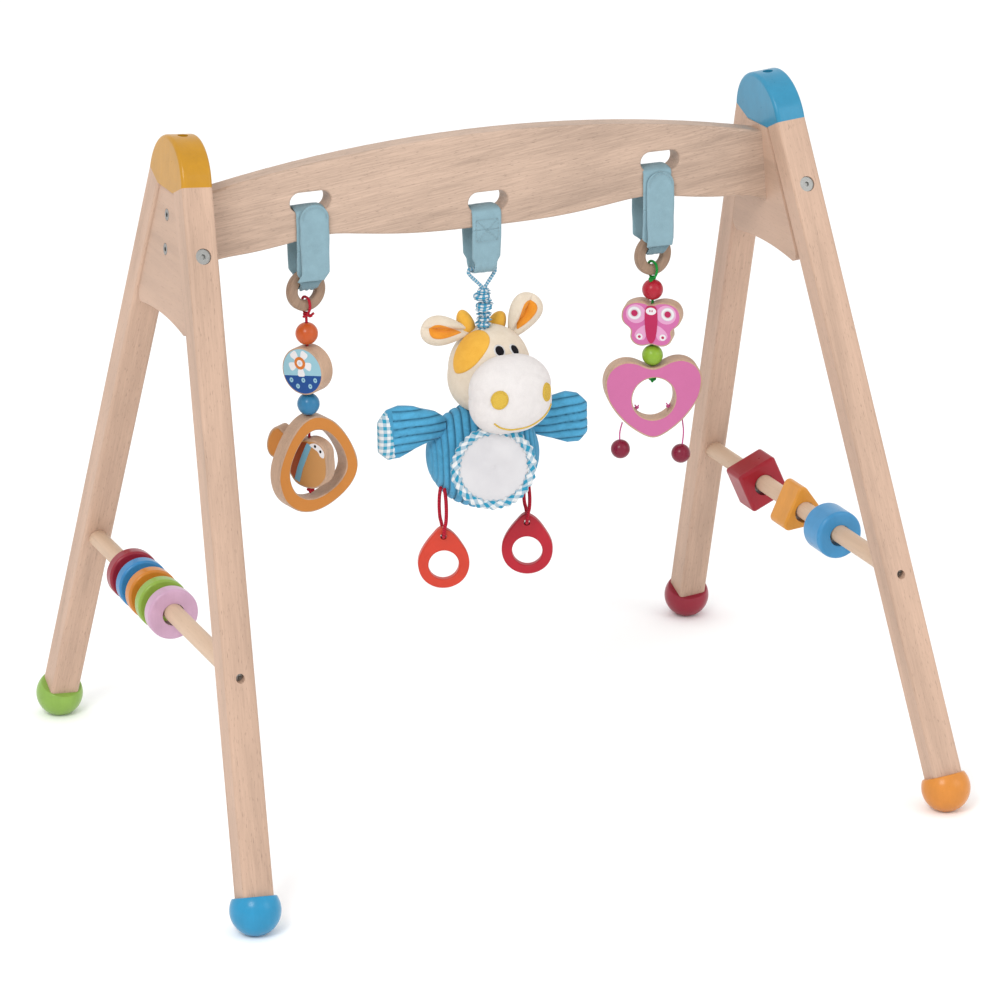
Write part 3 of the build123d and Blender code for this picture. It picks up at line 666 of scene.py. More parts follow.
def dress_frame():
    dress(wood("beam_grain", BEAM, 1.12, 0.55, (1, 0, 0.12), 62, 0.75, 1.0, 3.1), "beam")
    rung = wood("rung_grain", TONES["rung_wood"], 1.06, 0.82, ACROSS, 60, 0.3, 0.5, 5.7)
    dress(rung, "rung_left", "rung_right")
    dress(wood("dowel_grain", TONES["dowel_wood"], 1.05, 0.8, UPRIGHT, 60, 0.3, 0.4, 2.0), "foot_dowels")
    for side_name, side in (("left", -1), ("right", 1)):
        gusset = wood("gusset_grain_" + side_name, BEECH, 1.02, 0.76, ACROSS, 40, 0.5, 0.5, 8.0 + side)
        dress(gusset, "gusset_" + side_name)
        for end_name, end in (("front", -1), ("rear", 1)):
            leg = end_name + "_" + side_name
            seed = 1.7 * side + 3.3 * end
            grain = wood("leg_grain_" + leg, BEECH, 1.10, 0.70, leg_direction(side, end), 42, 0.7, 0.7, seed)
            dress(grain, "leg_" + leg)


def dress_painted():
    looks = {}
    for node in frame["nodes"]:
        slot = slot_of(node)
        if slot.startswith("paint_"):
            if slot not in looks:
                looks[slot] = paint(slot + "_lacquer", TONES[slot])
            dress(looks[slot], node)


def dress_toys():
    toy = wood("toy_grain", TOY, 1.45, 0.88, (0.25, 0.1, 1), 70, 0.4, 0.85, 4.2)
    ring = wood("hanger_grain", TOY, 0.92, 0.56, (0.5, 0.15, 1), 75, 0.4, 0.9, 6.4)
    dress(toy, "flower_disc", "teether_ring", "bird", "butterfly", "heart")
    dress(ring, "hanger_ring_left", "hanger_ring_right")
    orange = tint(TONES["teether_orange"], 0.90, 0.70, 0.72)
    red = tint(TONES["teether_red"], 0.92, 0.55, 0.58)
    dress(plastic("teether_orange_rubber", orange), "cow_teether_left")
    dress(plastic("teether_red_rubber", red), "cow_teether_right")


dress_frame()
dress_painted()
dress_toys()
dress(metal("zinc_plate", "A9A9A6", 0.30), "leg_bolts", "beam_bolts", "wood_screws")
dress(metal("turned_brass", "B8954A", 0.28), "threaded_inserts")


# ------------------------------------------------------------------ toy strings

CORD_THICK = 2.2 * MM
LEG_CORD_THICK = 3.0 * MM
CORD_RED = cord_cloth("string_red", "C02034")
CORD_GREEN = cord_cloth("string_green", "1F9A40")
CORD_PINK = cord_cloth("string_pink", "D8629E")
CORD_DARK = cord_cloth("string_dark_red", "BC2036", 300)
HANGER_TURN = 10.0
RIM_HALF = 4.375 * MM
TUBE_CLOTH = 5 * MM


def tube(name, line, radius, mat, body, columns, node=None):
    """Closed tube of skin along a line; radius may be a function of (part of length, angle)."""
    line = [Vector(p) for p in line]
    last = len(line) - 1
    rows, marks = [], []
    side = UP.cross(line[1] - line[0])
    side = side.normalized() if side.length > 1e-6 else Vector((1, 0, 0))
    run = 0.0
    for i, p in enumerate(line):
        ahead = (line[min(i + 1, last)] - line[max(i - 1, 0)]).normalized()
        side = (side - ahead * side.dot(ahead)).normalized()
        over = ahead.cross(side)
        run += (p - line[max(i - 1, 0)]).length
        row = []
        for a in round_angles(columns):
            r = radius(i / last, a) if callable(radius) else radius
            row.append(p + (side * math.cos(a) + over * math.sin(a)) * r)
        rows.append(row)
        marks.append([(a * TUBE_CLOTH, run, 0) for a in round_angles(columns)])
    return finish(skin(name, rows, [mat], cloth=marks), body, node)


def knot(name, centre, size, thick, mat, body):
    """Overhand knot: a trefoil drawn tight."""
    turns = 72
    wide, deep, tall = 0.36, 0.55, 0.30
    line = []
    for i in range(turns + 1):
        t = ROUND * i / turns
        x = math.sin(t) + 2 * math.sin(2 * t)
        y = math.cos(t) - 2 * math.cos(2 * t)
        z = -math.sin(3 * t)
        line.append(centre + Vector((x * wide, z * deep, y * tall)) * size)
    return tube(name, line, thick / 2, mat, body, 10)


def tag(name, points, thick, mat, body):
    """Short loose end of a cord, frayed a little wider at its tip."""
    def radius(part, _):
        return thick / 2 * (1 + 0.3 * max(0, part - 0.7))
    return tube(name, smooth_line(points, 8), radius, mat, body, 10)


def string_route(x, rim, end_z):
    """A loop round the ring's rim, closed by a knot, and then the straight run down."""
    around = [(0, -8.4), (5.2, -4.4), (6.6, 1.5), (4.2, 6.7), (-4.2, 6.7), (-6.6, 1.5), (-5.2, -4.4),
              (0, -8.6)]
    _, front = level_axes(HANGER_TURN)
    loop = [Vector((x, 0, rim)) + (front * d + UP * h) * MM for d, h in around]
    return [*loop, Vector((x, 0, rim - 15 * MM)), Vector((x, 0, end_z))]


def make_string(name, node, ring_node, mat, body, tags):
    x = middle(ring_node).x
    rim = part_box(ring_node)[0].z + RIM_HALF
    end = Vector((x, 0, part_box(node)[0].z + 2.6 * MM))
    tie = Vector((x, 0, rim - 7.6 * MM))
    route = string_route(x, rim, end.z)
    string = thread(name, route, CORD_THICK, mat, body, node)
    pieces = [knot(name + "_knot", tie, 1.9 * MM, 1.7 * MM, mat, body),
              knot(name + "_end_knot", end, 2.1 * MM, 2.0 * MM, mat, body)]
    for i, points in enumerate(tags):
        pieces.append(tag(f"{name}_tag_{i}", [tie + mm(*p) for p in points], 1.9 * MM, mat, body))
    tuple(route[0])
    round(line_length(string), 4)


LEFT_TAGS = (
    [(0, -1, 0), (2.6, -2.2, -0.6), (5.6, -2.8, 1.2)],
    [(0, -1, 0), (-2.2, -2.4, -0.9), (-3.6, -3.2, -0.6)],
    [(0, -1, 0), (1.8, -2.6, -1.2), (3.4, -3.8, -0.4)],
)
RIGHT_TAGS = (
    [(0, -1, 0), (-2.4, -2.2, -0.3), (-4.2, -2.6, 0.6)],
    [(0, -1, 0), (-2.0, -2.4, -1.2), (-3.8, -3.4, -1.0)],
)
make_string("left_toy_string", "cord_left", "hanger_ring_left", CORD_RED, "left_string", LEFT_TAGS)
make_string("right_toy_string", "cord_right", "hanger_ring_right", CORD_GREEN, "right_string", RIGHT_TAGS)


def leg_cord(name, node, turn, body):
    """Cord from the cow's foot, through the teether's eye and back up."""
    low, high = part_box(node)
    x, y = (low.x + high.x) / 2, -2 * MM
    top, eye = high.z / MM, low.z / MM + 1.5
    across, front = level_axes(turn)
    path = [(-1.2, top, -1.4), (-5.4, top - 8, -2.6), (-7.0, eye + 14, -2.4), (-7.2, eye + 8, -0.6),
            (-7.2, eye - 1, 0), (7.2, eye - 1, 0), (7.2, eye + 8, 0.6), (6.8, eye + 14, 2.4),
            (5.4, top - 8, 2.6), (1.2, top, 1.4)]
    route = [Vector((x, y, z * MM)) + (front * d + across * s) * MM for d, z, s in path]
    obj = thread(name, route, LEG_CORD_THICK, CORD_DARK, body, node)
    tuple(route[0])
    round(line_length(obj), 4)


leg_cord("cow_leg_loop_left", "cow_leg_cord_left", -18.0, "cow_leg_a")
leg_cord("cow_leg_loop_right", "cow_leg_cord_right", -24.0, "cow_leg_b")


# ------------------------------------------------------------------ printed faces

INKS = {
    "sky": "9CCBDA", "navy": "1C4E94", "white": "EFEDEF", "ochre": "D2883E", "amber": "D8782A",
    "tan": "CB9459", "rust": "A8502A", "stripe": "79B2CB", "black": "1A1416", "pink": "D373A6",
    "wing": "D673AC", "blush": "E8A8CF", "crimson": "BE2A5C", "grey": "D9D3D8",
}
PRINT = {ink: printed("ink_" + ink, code) for ink, code in INKS.items()}
INK_UNDER, INK_OVER, INK_STEP = 0.05, 0.10, 0.09


def print_face(prefix, at, turn, thick, body, layers):
    """Layers of ink on both faces. A layer is an ink, a height step, an outline and maybe a hole."""
    for face, side, spin in (("front", 1, turn), ("back", -1, turn + 180)):
        place = upright(at, spin)
        for i, (ink, step, *loops) in enumerate(layers):
            outline, *holes = [[(side * x, y) for x, y in loop] for loop in loops]
            low, high = thick / 2 - INK_UNDER, thick / 2 + INK_OVER + INK_STEP * step
            finish(plate(f"{prefix}_{face}_{i}", outline, place, low, high, PRINT[ink], holes), body)


def rounded(points, steps):
    return smooth_line(points, steps, closed=True)


def mirrored(points):
    return [(-x, y) for x, y in reversed(points)]


def turned(outline, degrees):
    c, s = math.cos(math.radians(degrees)), math.sin(math.radians(degrees))
    return [(x * c - y * s, x * s + y * c) for x, y in outline]


def disc_layers():
    """A flower in the sky over dotted ground."""
    r, horizon, roll, steps = 18.3, -3.4, 7.5, 44
    heart_x, heart_y, petal_out = -1.2, 6.7, 7.8
    start = math.asin(horizon / r)

    def arc(first, sweep):
        angles = [first + sweep * i / steps for i in range(steps + 1)]
        return [(r * math.cos(t), r * math.sin(t)) for t in angles]

    layers = [("sky", 0, arc(start, math.pi - 2 * start)),
              ("navy", 0, arc(math.pi - start, math.pi + 2 * start))]
    petal = [(-2.0, -3.0), (0, -3.2), (2.0, -3.0), (3.4, 1.0), (2.6, 2.9), (0, 3.2), (-2.6, 2.9), (-3.4, 1.0)]
    for k in range(5):
        leaf = turned([(petal_out + q, p) for p, q in rounded(petal, 5)], 270 + 72 * k)
        layers.append(("white", 1, [(heart_x + x, heart_y + y) for x, y in leaf]))
    for ink, step, size in (("amber", 2, 5.2), ("white", 3, 2.7), ("grey", 4, 1.2)):
        layers.append((ink, step, ellipse(heart_x, heart_y, size)))
    for x, y in ((-11.6, -7.2), (0, -7.2), (11.6, -7.2), (-6.0, -12.2), (6.0, -12.2)):
        layers.append(("sky", 1, ellipse(x, y, 1.8, 2.0, 24)))
        layers.append(("navy", 2, ellipse(x, y, 0.55, 0.55, 16)))
    return [(ink, step, turned(loop, roll)) for ink, step, loop in layers]


def butterfly_layers():
    half = [(0, 16.2), (6, 18.4), (14, 18.6), (21.5, 15), (24.6, 8), (23, 0.5), (17.2, -5.6), (17.4, -11.5),
            (14, -17), (7.5, -18.8), (0, -17.4)]
    leaf = [(4.4, -0.6), (8.6, -2.6), (12.4, -6.4), (13.6, -10.6), (10.4, -13.6), (6.2, -13.2), (4.0, -9.0),
            (3.8, -4.0)]
    body = [(3.4, 15.2), (5.0, 11.6), (5.3, 4), (4.6, -6), (3.0, -13)]
    layers = [("wing", 0, inset(rounded(half + mirrored(half[1:-1]), 6), 1.1))]
    for s in (-1, 1):
        layers.append(("blush", 1, ellipse(s * 12.6, 8.6, 8.2, 8.0)))
        for ink, step, size in (("grey", 2, 5.7), ("white", 3, 5.2), ("grey", 4, 3.6), ("crimson", 5, 2.7)):
            layers.append((ink, step, ellipse(s * 13.8, 9.2, size)))
        layers.append(("blush", 1, rounded([(s * x, y) for x, y in leaf], 6)))
        layers.append(("white", 3, ellipse(s * 9.7, -10.8, 2.7)))
        layers.append(("crimson", 4, ellipse(s * 9.7, -10.8, 1.2, 1.2, 20)))
    layers.append(("crimson", 6, rounded([(0, 16.0), *body, (0, -16.2), *mirrored(body)], 6)))
    layers.append(("white", 7, ellipse(0, 11.4, 4.3, 3.1)))
    for s in (-1, 1):
        layers.append(("crimson", 8, ellipse(s * 0.9, 11.6, 0.5, 1.0, 16)))
    return layers


def heart_layers():
    right = [(7, 28.2), (15, 31.8), (25, 32.6), (35, 27.5), (40.3, 17), (38.6, 2), (33, -8.5), (23.6, -19.8),
             (11, -29.6)]
    outline = [(0, 26.4), *right, (0, -33.8), *mirrored(right)]
    return [("pink", 0, inset(rounded(outline, 8), 1.3), ellipse(0, 0, 19.0, 19.0, 72))]


def ring_layers():
    outer = [(2.5, 39.5), (16.5, 34.5), (28.5, 22), (36.5, 8), (40.5, -8), (37, -19), (26.5, -29.5),
             (9.5, -38), (-5.5, -39.8), (-17.5, -36), (-27.5, -26.5), (-32.5, -12), (-32, 0), (-27, 13.5),
             (-19.5, 26), (-9.5, 36)]
    x0, y0, part = 3.5, -1, 0.715
    inner = [(x0 + part * (x - x0), y0 + part * (y - y0)) for x, y in outer]
    return [("ochre", 0, inset(rounded(outer, 8), 1.0), inset(rounded(inner, 8), -0.9))]


def bird_layers():
    outline = [(0, 20.5), (11, 20), (19, 13.5), (20, 6), (20.5, -1), (19, -10), (11, -18.5), (0, -20.5),
               (-11, -17), (-19, -6), (-27, -0.5), (-34, 1), (-37.5, 7), (-36.5, 16), (-32, 24), (-26, 27),
               (-20.5, 23.5), (-14, 18.5), (-6, 19.5)]
    back = [(1.5, 18.4), (-6, 17.6), (-13, 16.6), (-19, 19.6), (-18.4, -4.0), (-11, -14.4), (-9.5, -9),
            (-3, 5), (3.5, 15.2)]
    band = [(1.5, 17.6), (6.4, 16.4), (2.6, 8.0), (-2.6, -4.0), (-6.2, -16.6), (-11, -14.4), (-8.0, -4.0),
            (-3.2, 8.0)]
    tail = [(-20.6, 21.4), (-26, 25.2), (-30.8, 22.4), (-34.8, 15.6), (-35.7, 7.4), (-33, 2.8), (-27, 1.4),
            (-20.6, -1.8)]
    mask = [(4.2, 16.6), (9.2, 18.6), (14.4, 16.4), (18.0, 12.0), (17.6, 7.6), (14.4, 8.4), (12.0, 12.0),
            (8.0, 14.2)]
    eyes = [("black", 4, ellipse(x, y, 1.1, 1.3, 20)) for x, y in ((9.6, 16.2), (14.6, 12.6))]
    return [("tan", 0, inset(rounded(outline, 6), 1.3)), ("rust", 1, back), ("stripe", 2, band),
            ("ochre", 3, tail), ("white", 3, rounded(mask, 5)), *eyes]


LEFT = middle("hanger_ring_left").x
RIGHT = middle("hanger_ring_right").x
DISC_AT = Vector((LEFT, 0, middle("flower_disc").z))
BIRD_AT = Vector((LEFT, 0, 0.2834))
WING_AT = Vector((RIGHT, 0, 0.3627))
HEART_AT = Vector((RIGHT, 0, 0.2988))
HEART_TURN = -15
print_face("disc_print", DISC_AT, -55, 15, "left_disc", disc_layers())
print_face("ring_print", BIRD_AT, 10, 15, "left_teether", ring_layers())
print_face("bird_print", BIRD_AT, -54, 12, "left_bird", bird_layers())
print_face("wing_print", WING_AT, -34, 14, "right_butterfly", butterfly_layers())
print_face("heart_print", HEART_AT, HEART_TURN, 15, "right_heart", heart_layers())


# ------------------------------------------------------------------ cherries


def cherry_string(name, side, body):
    """Thin cord from a hole in the heart to a cherry, tied in front of the heart."""
    node = "cherry_cord_" + name
    cherry = middle("cherry_" + name)
    across, _ = level_axes(HEART_TURN)
    start = HEART_AT + across * (side * 25.2 * MM) - UP * 21.4 * MM
    out = across * side * 1.4 * MM
    line = [start, start.lerp(cherry, 0.35) + out, start.lerp(cherry, 0.7) + out * 0.7, cherry]
    tube("cherry_string_" + name, smooth_line(line, 10), 0.6 * MM, CORD_PINK, body, 10, node)
    tie = HEART_AT + across * (side * 13.2 * MM) - UP * 9.4 * MM
    knot("cherry_tie_" + name, tie, 1.3 * MM, 1.2 * MM, CORD_PINK, "right_heart")
    for i, (dx, dz) in enumerate(((-1.6, 2.8), (1.6, 2.4))):
        end = tie + (across * dx + UP * dz) * MM
        line = [tie, tie.lerp(end, 0.5) + FORWARD * 0.8 * MM, end]
        tag(f"cherry_tie_{name}_{i}", line, 1.1 * MM, CORD_PINK, "right_heart")


cherry_string("left", -1, "right_cherry_a")
cherry_string("right", 1, "right_cherry_b")


# ------------------------------------------------------------------ straps

WEB = webbing("loop_tape", "92B3BF")
# a darker copy of the same tape: painted shade for the bunched cloth at the ring
WEB_PAINTED_SHADE = webbing("loop_tape_gathered", "7E9BA6")
THREAD = cord_cloth("sewing_thread", "9DB8C1", 900)
WEB_THICK = 1.6 * MM
WEB_WIDE = 25 * MM
BAND_WIDE = 24.8 * MM
SIDE, BEND, BEND_RISE, LEAVES = 11.2, 9.3, 0.8, 462.0


def run_along(points, spacing):
    """Points evenly spaced along a line, and the distance of each from its start."""
    lengths = [0.0]
    for a, b in zip(points, points[1:]):
        lengths.append(lengths[-1] + (b - a).length)
    count = max(2, int(lengths[-1] / spacing))
    out, at = [], 0
    for i in range(count + 1):
        want = lengths[-1] * i / count
        while at < len(lengths) - 2 and lengths[at + 1] < want:
            at += 1
        part = (want - lengths[at]) / max(1e-9, lengths[at + 1] - lengths[at])
        out.append((points[at].lerp(points[at + 1], part), want))
    return out, lengths[-1]


def u_bend(low, first=0.0, part=1.0):
    """Side view of the strap's bend, (y, z) in mm, or of a part of its half turn."""
    steps = 12
    angles = [math.pi * (first + part * k / steps) for k in range(steps + 1)]
    return [(BEND * math.cos(a), low + BEND - BEND * math.sin(a)) for a in angles]


def strap_path(top, low):
    """Middle line of the band, from the back web's foot round over the slot floor to the U-bend."""
    back = [(-SIDE, LEAVES), (-SIDE, top - 3), (-SIDE + 0.9, top - 0.8), (-SIDE + 3.2, top + 0.1),
            (-4, top + 0.9)]
    return [mm(0, y, z) for y, z in [*back, (0, top + 1.1), *mirrored(back), *u_bend(low), back[0]]]


def band(name, line, centre, width, mat, fold, seed):
    """Webbing swept along a line in the YZ plane: centre(z) and width(z, part) give its place across."""
    run, total = run_along(line, 1.2 * MM)
    across = 22
    front = [(2 * k / across - 1, 1) for k in range(across + 1)]
    loop = front + [(-t, -1) for t, _ in front]
    rows, marks = [], []
    for i, (p, s) in enumerate(run):
        ahead = (run[min(i + 1, len(run) - 1)][0] - run[max(i - 1, 0)][0]).normalized()
        out = Vector((1, 0, 0)).cross(ahead)
        w, x = width(p.z, s / total), centre(p.z)
        gather = max(0.0, 1 - w / WEB_WIDE) * fold
        row = []
        for t, face in loop:
            edge = math.sqrt(max(0.0, 1 - abs(t) ** 10))
            ripple = gather * math.cos(t * 9.4 + seed) * (0.6 + 0.4 * math.sin(s * 300 + seed))
            off = face * WEB_THICK / 2 * (0.35 + 0.65 * edge) + ripple
            q = p + Vector((x + t * w / 2, 0, 0)) + out * off
            row.append(q + swirl(q, 0.012, 0.35 * MM, seed))
        rows.append(row)
        marks.append([(t * WEB_WIDE / 2, s, 0) for t, _ in loop])
    return finish(skin(name, rows, [mat], cloth=marks), "frame"), total


def stitches(name, points):
    """A row of short raised stitches along a line on the strap's front."""
    pitch, size = 2.6 * MM, 0.5 * MM
    run, _ = run_along(points, pitch)
    bm = bmesh.new()
    for (a, _), (b, _) in zip(run, run[1:]):
        d = b - a
        place = Matrix.Translation(a + d * 0.5 + FORWARD * size * 0.35)
        turn = d.to_track_quat("X", "Z").to_matrix().to_4x4()
        shape = Matrix.Diagonal((d.length * 0.36, size * 0.5, size * 0.5, 1))
        bmesh.ops.create_icosphere(bm, subdivisions=2, radius=1.0, matrix=place @ turn @ shape)
    mesh = bpy.data.meshes.new(name)
    bm.to_mesh(mesh)
    bm.free()
    mesh.materials.append(THREAD)
    return finish(add_object(name, mesh), "frame")


def make_flap(name, centre, base, crown, seed):
    """Round-ended flap on the strap's front, sewn round its crown."""
    half, shift = 12.2 * MM, 1.9 * MM
    face = -SIDE * MM - WEB_THICK

    def width(z, _):
        rise = max(0.0, z - (crown - half))
        arch = max(1.2 * MM, 2 * math.sqrt(max(0.0, half * half - rise * rise)))
        return min(arch, 22.4 * MM + 0.06 * (z - base))

    def place(z):
        return centre(z) + shift * min(1, (z - base) / (6 * MM))

    lifts = ((0.5, base), (0.9, base + 8 * MM), (0.6, (base + crown) / 2), (0.25, crown))
    line = [Vector((0, face - lift * MM, z)) for lift, z in lifts]
    front, _ = band(name + "_flap", smooth_line(line, 10), place, width, WEB, 0.5 * MM, seed)
    seam = half - 2 * MM
    heart = Vector((centre(crown) + shift, face - 1.5 * MM, crown - half))
    angles = [math.pi * k / 24 for k in range(25)]
    sewn = [heart + Vector((math.cos(a), 0, math.sin(a))) * seam for a in angles]
    return [front, stitches(name + "_flap_stitches", sewn)]


def box_stitches(name, x, floor):
    """A sewn box with a cross in it."""
    half, heights = 9.5 * MM, (floor - 24 * MM, floor - 6 * MM)
    y = -SIDE * MM - WEB_THICK / 2 - 0.25 * MM
    lines = ((-1, 1, 1, 1), (-1, 0, 1, 0), (-1, 1, -1, 0), (1, 1, 1, 0), (-1, 1, 1, 0), (1, 1, -1, 0))
    pieces = []
    for i, (xa, za, xb, zb) in enumerate(lines):
        ends = [Vector((x + side * half, y, heights[up])) for side, up in ((xa, za), (xb, zb))]
        pieces.append(stitches(f"{name}_box_stitch_{i}", ends))
    return pieces


def gather_cuff(name, x, bottom, neck):
    """Bunched cloth where the strap is pinched through its ring, in a darker copy of the tape (painted shade
    of the folds).
    """
    line = [mm(0, y - 1.1, z - 0.35) for y, z in u_bend(bottom / MM + BEND_RISE, 0.54, 0.44)]

    def width(_, part):
        return neck * 0.98 + 7.4 * MM * part ** 4

    band(name, line, lambda z: x + 0.6 * MM, width, WEB_PAINTED_SHADE, 1.3 * MM, x * 70)


def make_strap(name, node, toy_x, neck, crown_rise=None):
    """Tape hung over the slot's floor, narrowed to its neck in the ring; with a crown it has a flap."""
    low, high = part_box(node)
    strap_x, bottom = (low.x + high.x) / 2, low.z
    floor = high.z - WEB_THICK - 0.6 * MM
    narrow_at, wide_at = bottom + 9.2 * MM, bottom + 16 * MM

    def narrowing(z):
        t = clamp((wide_at - z) / (wide_at - narrow_at))
        return t * t * (3 - 2 * t)

    def centre(z):
        return strap_x + (toy_x - strap_x) * narrowing(z)

    def width(z, _):
        return BAND_WIDE + (neck - BAND_WIDE) * narrowing(z)

    path = strap_path(floor / MM + 1.4, bottom / MM + BEND_RISE)
    obj, total = band(name, path, centre, width, WEB, 1.1 * MM, strap_x * 90)
    if crown_rise is None:
        extras = box_stitches(name, strap_x, floor)
    else:
        extras = make_flap(name, centre, bottom + 9.5 * MM, floor + crown_rise, strap_x * 50)
        gather_cuff(name + "_gather", centre(bottom), bottom, neck)
    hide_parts(node)


make_strap("strap_left_band", "strap_left", LEFT, 14 * MM, 6.4 * MM)
make_strap("strap_right_band", "strap_right", RIGHT, 14 * MM, 0.4 * MM)
make_strap("strap_middle_band", "strap_middle", -2.3 * MM, 19 * MM)


# ------------------------------------------------------------------ cow: elastic

GINGHAM = gingham("gingham_fine", "1C92BA", 4.4, 0.86)
GINGHAM_WIDE = gingham("gingham_check", "35A6C8", 5.4)
PIPING = gingham("gingham_piping", "2B97BD", 2.4, 0.8)
BIAS = gingham("gingham_bias", "2D9FC4", 8.0)
ELASTIC_X = -1.2
ELASTIC_FOOT, ELASTIC_TOP = [end.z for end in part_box("cow_elastic")]


def make_loop():
    """Narrow cloth tube: a triangle hung round the strap's bend."""
    low, high = [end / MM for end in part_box("cow_loop")]
    x, foot, bar = ELASTIC_X, ELASTIC_TOP / MM - 1.5, high.z - 1.8
    left, right = low.x + 1.8, high.x - 1.8
    points = [(x, 0, foot), (x - 4, -0.4, foot + 4.6), (left + 1, 0, bar - 4.5), (left + 0.6, 0, bar - 0.6),
              (left + 3, 0, bar), (right - 3, 0, bar), (right - 0.6, 0, bar - 0.6), (right - 1, 0, bar - 4.5),
              (x + 4, 0.4, foot + 4.6), (x + 0.3, 0, foot)]

    def radius(part, a):
        return (1.5 + 0.08 * math.sin(part * 70 + 2 * a)) * MM

    line = smooth_line([mm(*p) for p in points], 8)
    tube("cow_hanging_loop", line, radius, PIPING, "cow_hanger", 16, "cow_loop")


def make_elastic():
    """Gathered cloth tube over elastic: tight tilted ruffles, two of them large."""
    n, m = 230, 64
    foot = ELASTIC_FOOT - 3 * MM
    tall = ELASTIC_TOP - foot
    rows, marks = [], []
    run = 0.0
    for i in range(n + 1):
        t = i / n
        loose = hill(t - 0.80, 0.055) + hill(t - 0.60, 0.055)
        neck = 1 - 0.42 * max(0.0, (t - 0.90) / 0.10) ** 0.8
        sway = mm(math.sin(t * 21) * 0.7, math.cos(t * 17) * 0.5, 0) * min(1, 6 * (1 - t))
        row, mark = [], []
        for a in round_angles(m):
            tilt = 0.9 * math.cos(a + 2.1 * math.sin(t * 9)) + 0.5 * math.cos(2 * a + t * 20)
            wave = math.sin(t * 62 + tilt) * (1 - 0.75 * min(1, loose))
            lean = 0.5 + 0.5 * math.cos(a - (2.6 if t > 0.7 else 0.4))
            frill = 2.3 * loose * (0.45 + 0.75 * lean) + 0.35 * math.cos(7 * a + t * 31)
            r = neck * (4.9 + 1.45 * wave + frill)
            z = (foot + tall * t) / MM + 1.1 * loose * math.cos(a - 0.6)
            row.append(mm(ELASTIC_X + r * math.cos(a), r * math.sin(a), z) + sway)
            mark.append((a * 5.2 * MM, run, 0))
        run += tall / n * (1.6 + 0.9 * abs(math.cos(t * 62)))
        rows.append(row)
        marks.append(mark)
    obj = skin("cow_gathered_elastic", rows, [GINGHAM], cloth=marks)
    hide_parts("cow_elastic")
    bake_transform(obj)


make_loop()
make_elastic()


# ------------------------------------------------------------------ cow: stuffed pieces

CREAM = plush("plush_head", "F0E2CF", "DECDB4")
PALE = plush("plush_muzzle", "F1ECEA", "DFDAD8")
YELLOW = plush("felt_yellow", "F8BF4E", "E8A83A")
ORANGE = plush("felt_orange", "F7A136", "DE8420")
GOLD = cord_cloth("embroidery_gold", "ECC452", 1500)
INK_BLACK = cord_cloth("embroidery_black", "17141A", 1500)
INK_WHITE = cord_cloth("embroidery_white", "F2F0EE", 1500)
CORD_BLUE = corduroy("wide_corduroy", "51A2CA")
WALE = 7.2 * MM


def wale_profile(s):
    """Height of a rounded wale, 0 in the furrow to 1 on the crest."""
    t = (s / WALE) % 1.0
    return max(0.0, 1 - abs(2 * t - 1) ** 3.2) ** 0.6


def on_form(d, radii):
    """Point of a round form in one direction from its middle."""
    return mm(d.x * radii[0], d.y * radii[1], d.z * radii[2])


def stuffed(name, centre, radii, mat, push, rows, columns, turn=0.0, tilt=0.0):
    """Stuffed round form. push(direction, point) moves a point and gives its height mark."""
    spin = Matrix.Rotation(math.radians(turn), 3, "Z") @ Matrix.Rotation(math.radians(tilt), 3, "Y")
    grid, marks = [], []
    for i in range(1, rows):
        e = math.pi * i / rows - math.pi / 2
        ring = [Vector((math.cos(e) * math.cos(a), math.cos(e) * math.sin(a), math.sin(e)))
                for a in round_angles(columns)]
        pairs = [push(d, on_form(d, radii)) for d in ring]
        grid.append([spin @ p + mm(*centre) for p, _ in pairs])
        marks.append([value for _, value in pairs])
    return skin(name, grid, [mat], height=marks)


MIRROR_R, MIRROR_OVAL = 29.0, 0.985
MIRROR_PLACE = upright(mm(-7.0, -31.5, 268.0), -10) @ Matrix.Rotation(math.radians(-4), 4, "X")
BODY_AT, BODY_R, BODY_TURN = (-2.0, 4, 268.5), (47.0, 30.5, 45.5), -10.0


def body_push(d, p):
    s = BODY_R[0] * MM * math.asin(clamp(d.x, -1, 1))
    ridge = wale_profile(s + 0.6 * MM * math.sin(d.z * 4))
    fade = min(1.0, 3.0 * (1 - abs(d.x)))
    waist = 1 - 0.05 * max(0.0, -d.z) ** 2
    seam = hill(d.y - 0.12, 1 / 30)
    p = Vector((p.x * waist, p.y, p.z))
    p += d * ((ridge - 1) * 2.3 * MM * fade) + swirl(p, 0.022, 1.2 * MM, 3.0)
    # the height mark drives the corduroy's painted furrow shade and crest highlight; the seam lowers it too,
    # so shade is painted into the seam groove
    return p - d * seam * 0.9 * MM, ridge * (1 - 0.6 * seam) * fade + (1 - fade) * 0.8


def make_body():
    """Corduroy body, pressed flat behind the mirror."""
    flat, pressed, free = -0.8 * MM, 36, 48
    obj = stuffed("cow_body_corduroy", BODY_AT, BODY_R, CORD_BLUE, body_push, 200, 420, turn=BODY_TURN)
    back = MIRROR_PLACE.inverted()
    for v in obj.data.vertices:
        q = back @ v.co
        edge = math.hypot(q.x, q.y) / MM
        if q.z > flat and edge < free:
            q.z = flat + (q.z - flat) * clamp((edge - pressed) / (free - pressed)) * 0.6
            v.co = MIRROR_PLACE @ q
    finish_soft(obj, "cow_body")


ARM_TOP = [(34, 8), (42, 13.5), (60, 20.5), (74, 22.5), (84, 20), (92, 12)]
ARM_LOW = [(34, -7), (42, -9.5), (60, -15), (74, -21), (84, -21.5), (92, -15)]
ARM_ROOT, ARM_LONG, ARM_X = 34, 58, -2.0


def along(table, x):
    for (xa, ya), (xb, yb) in zip(table, table[1:]):
        if x <= xb:
            return ya + (yb - ya) * clamp((x - xa) / (xb - xa))
    return table[-1][1]


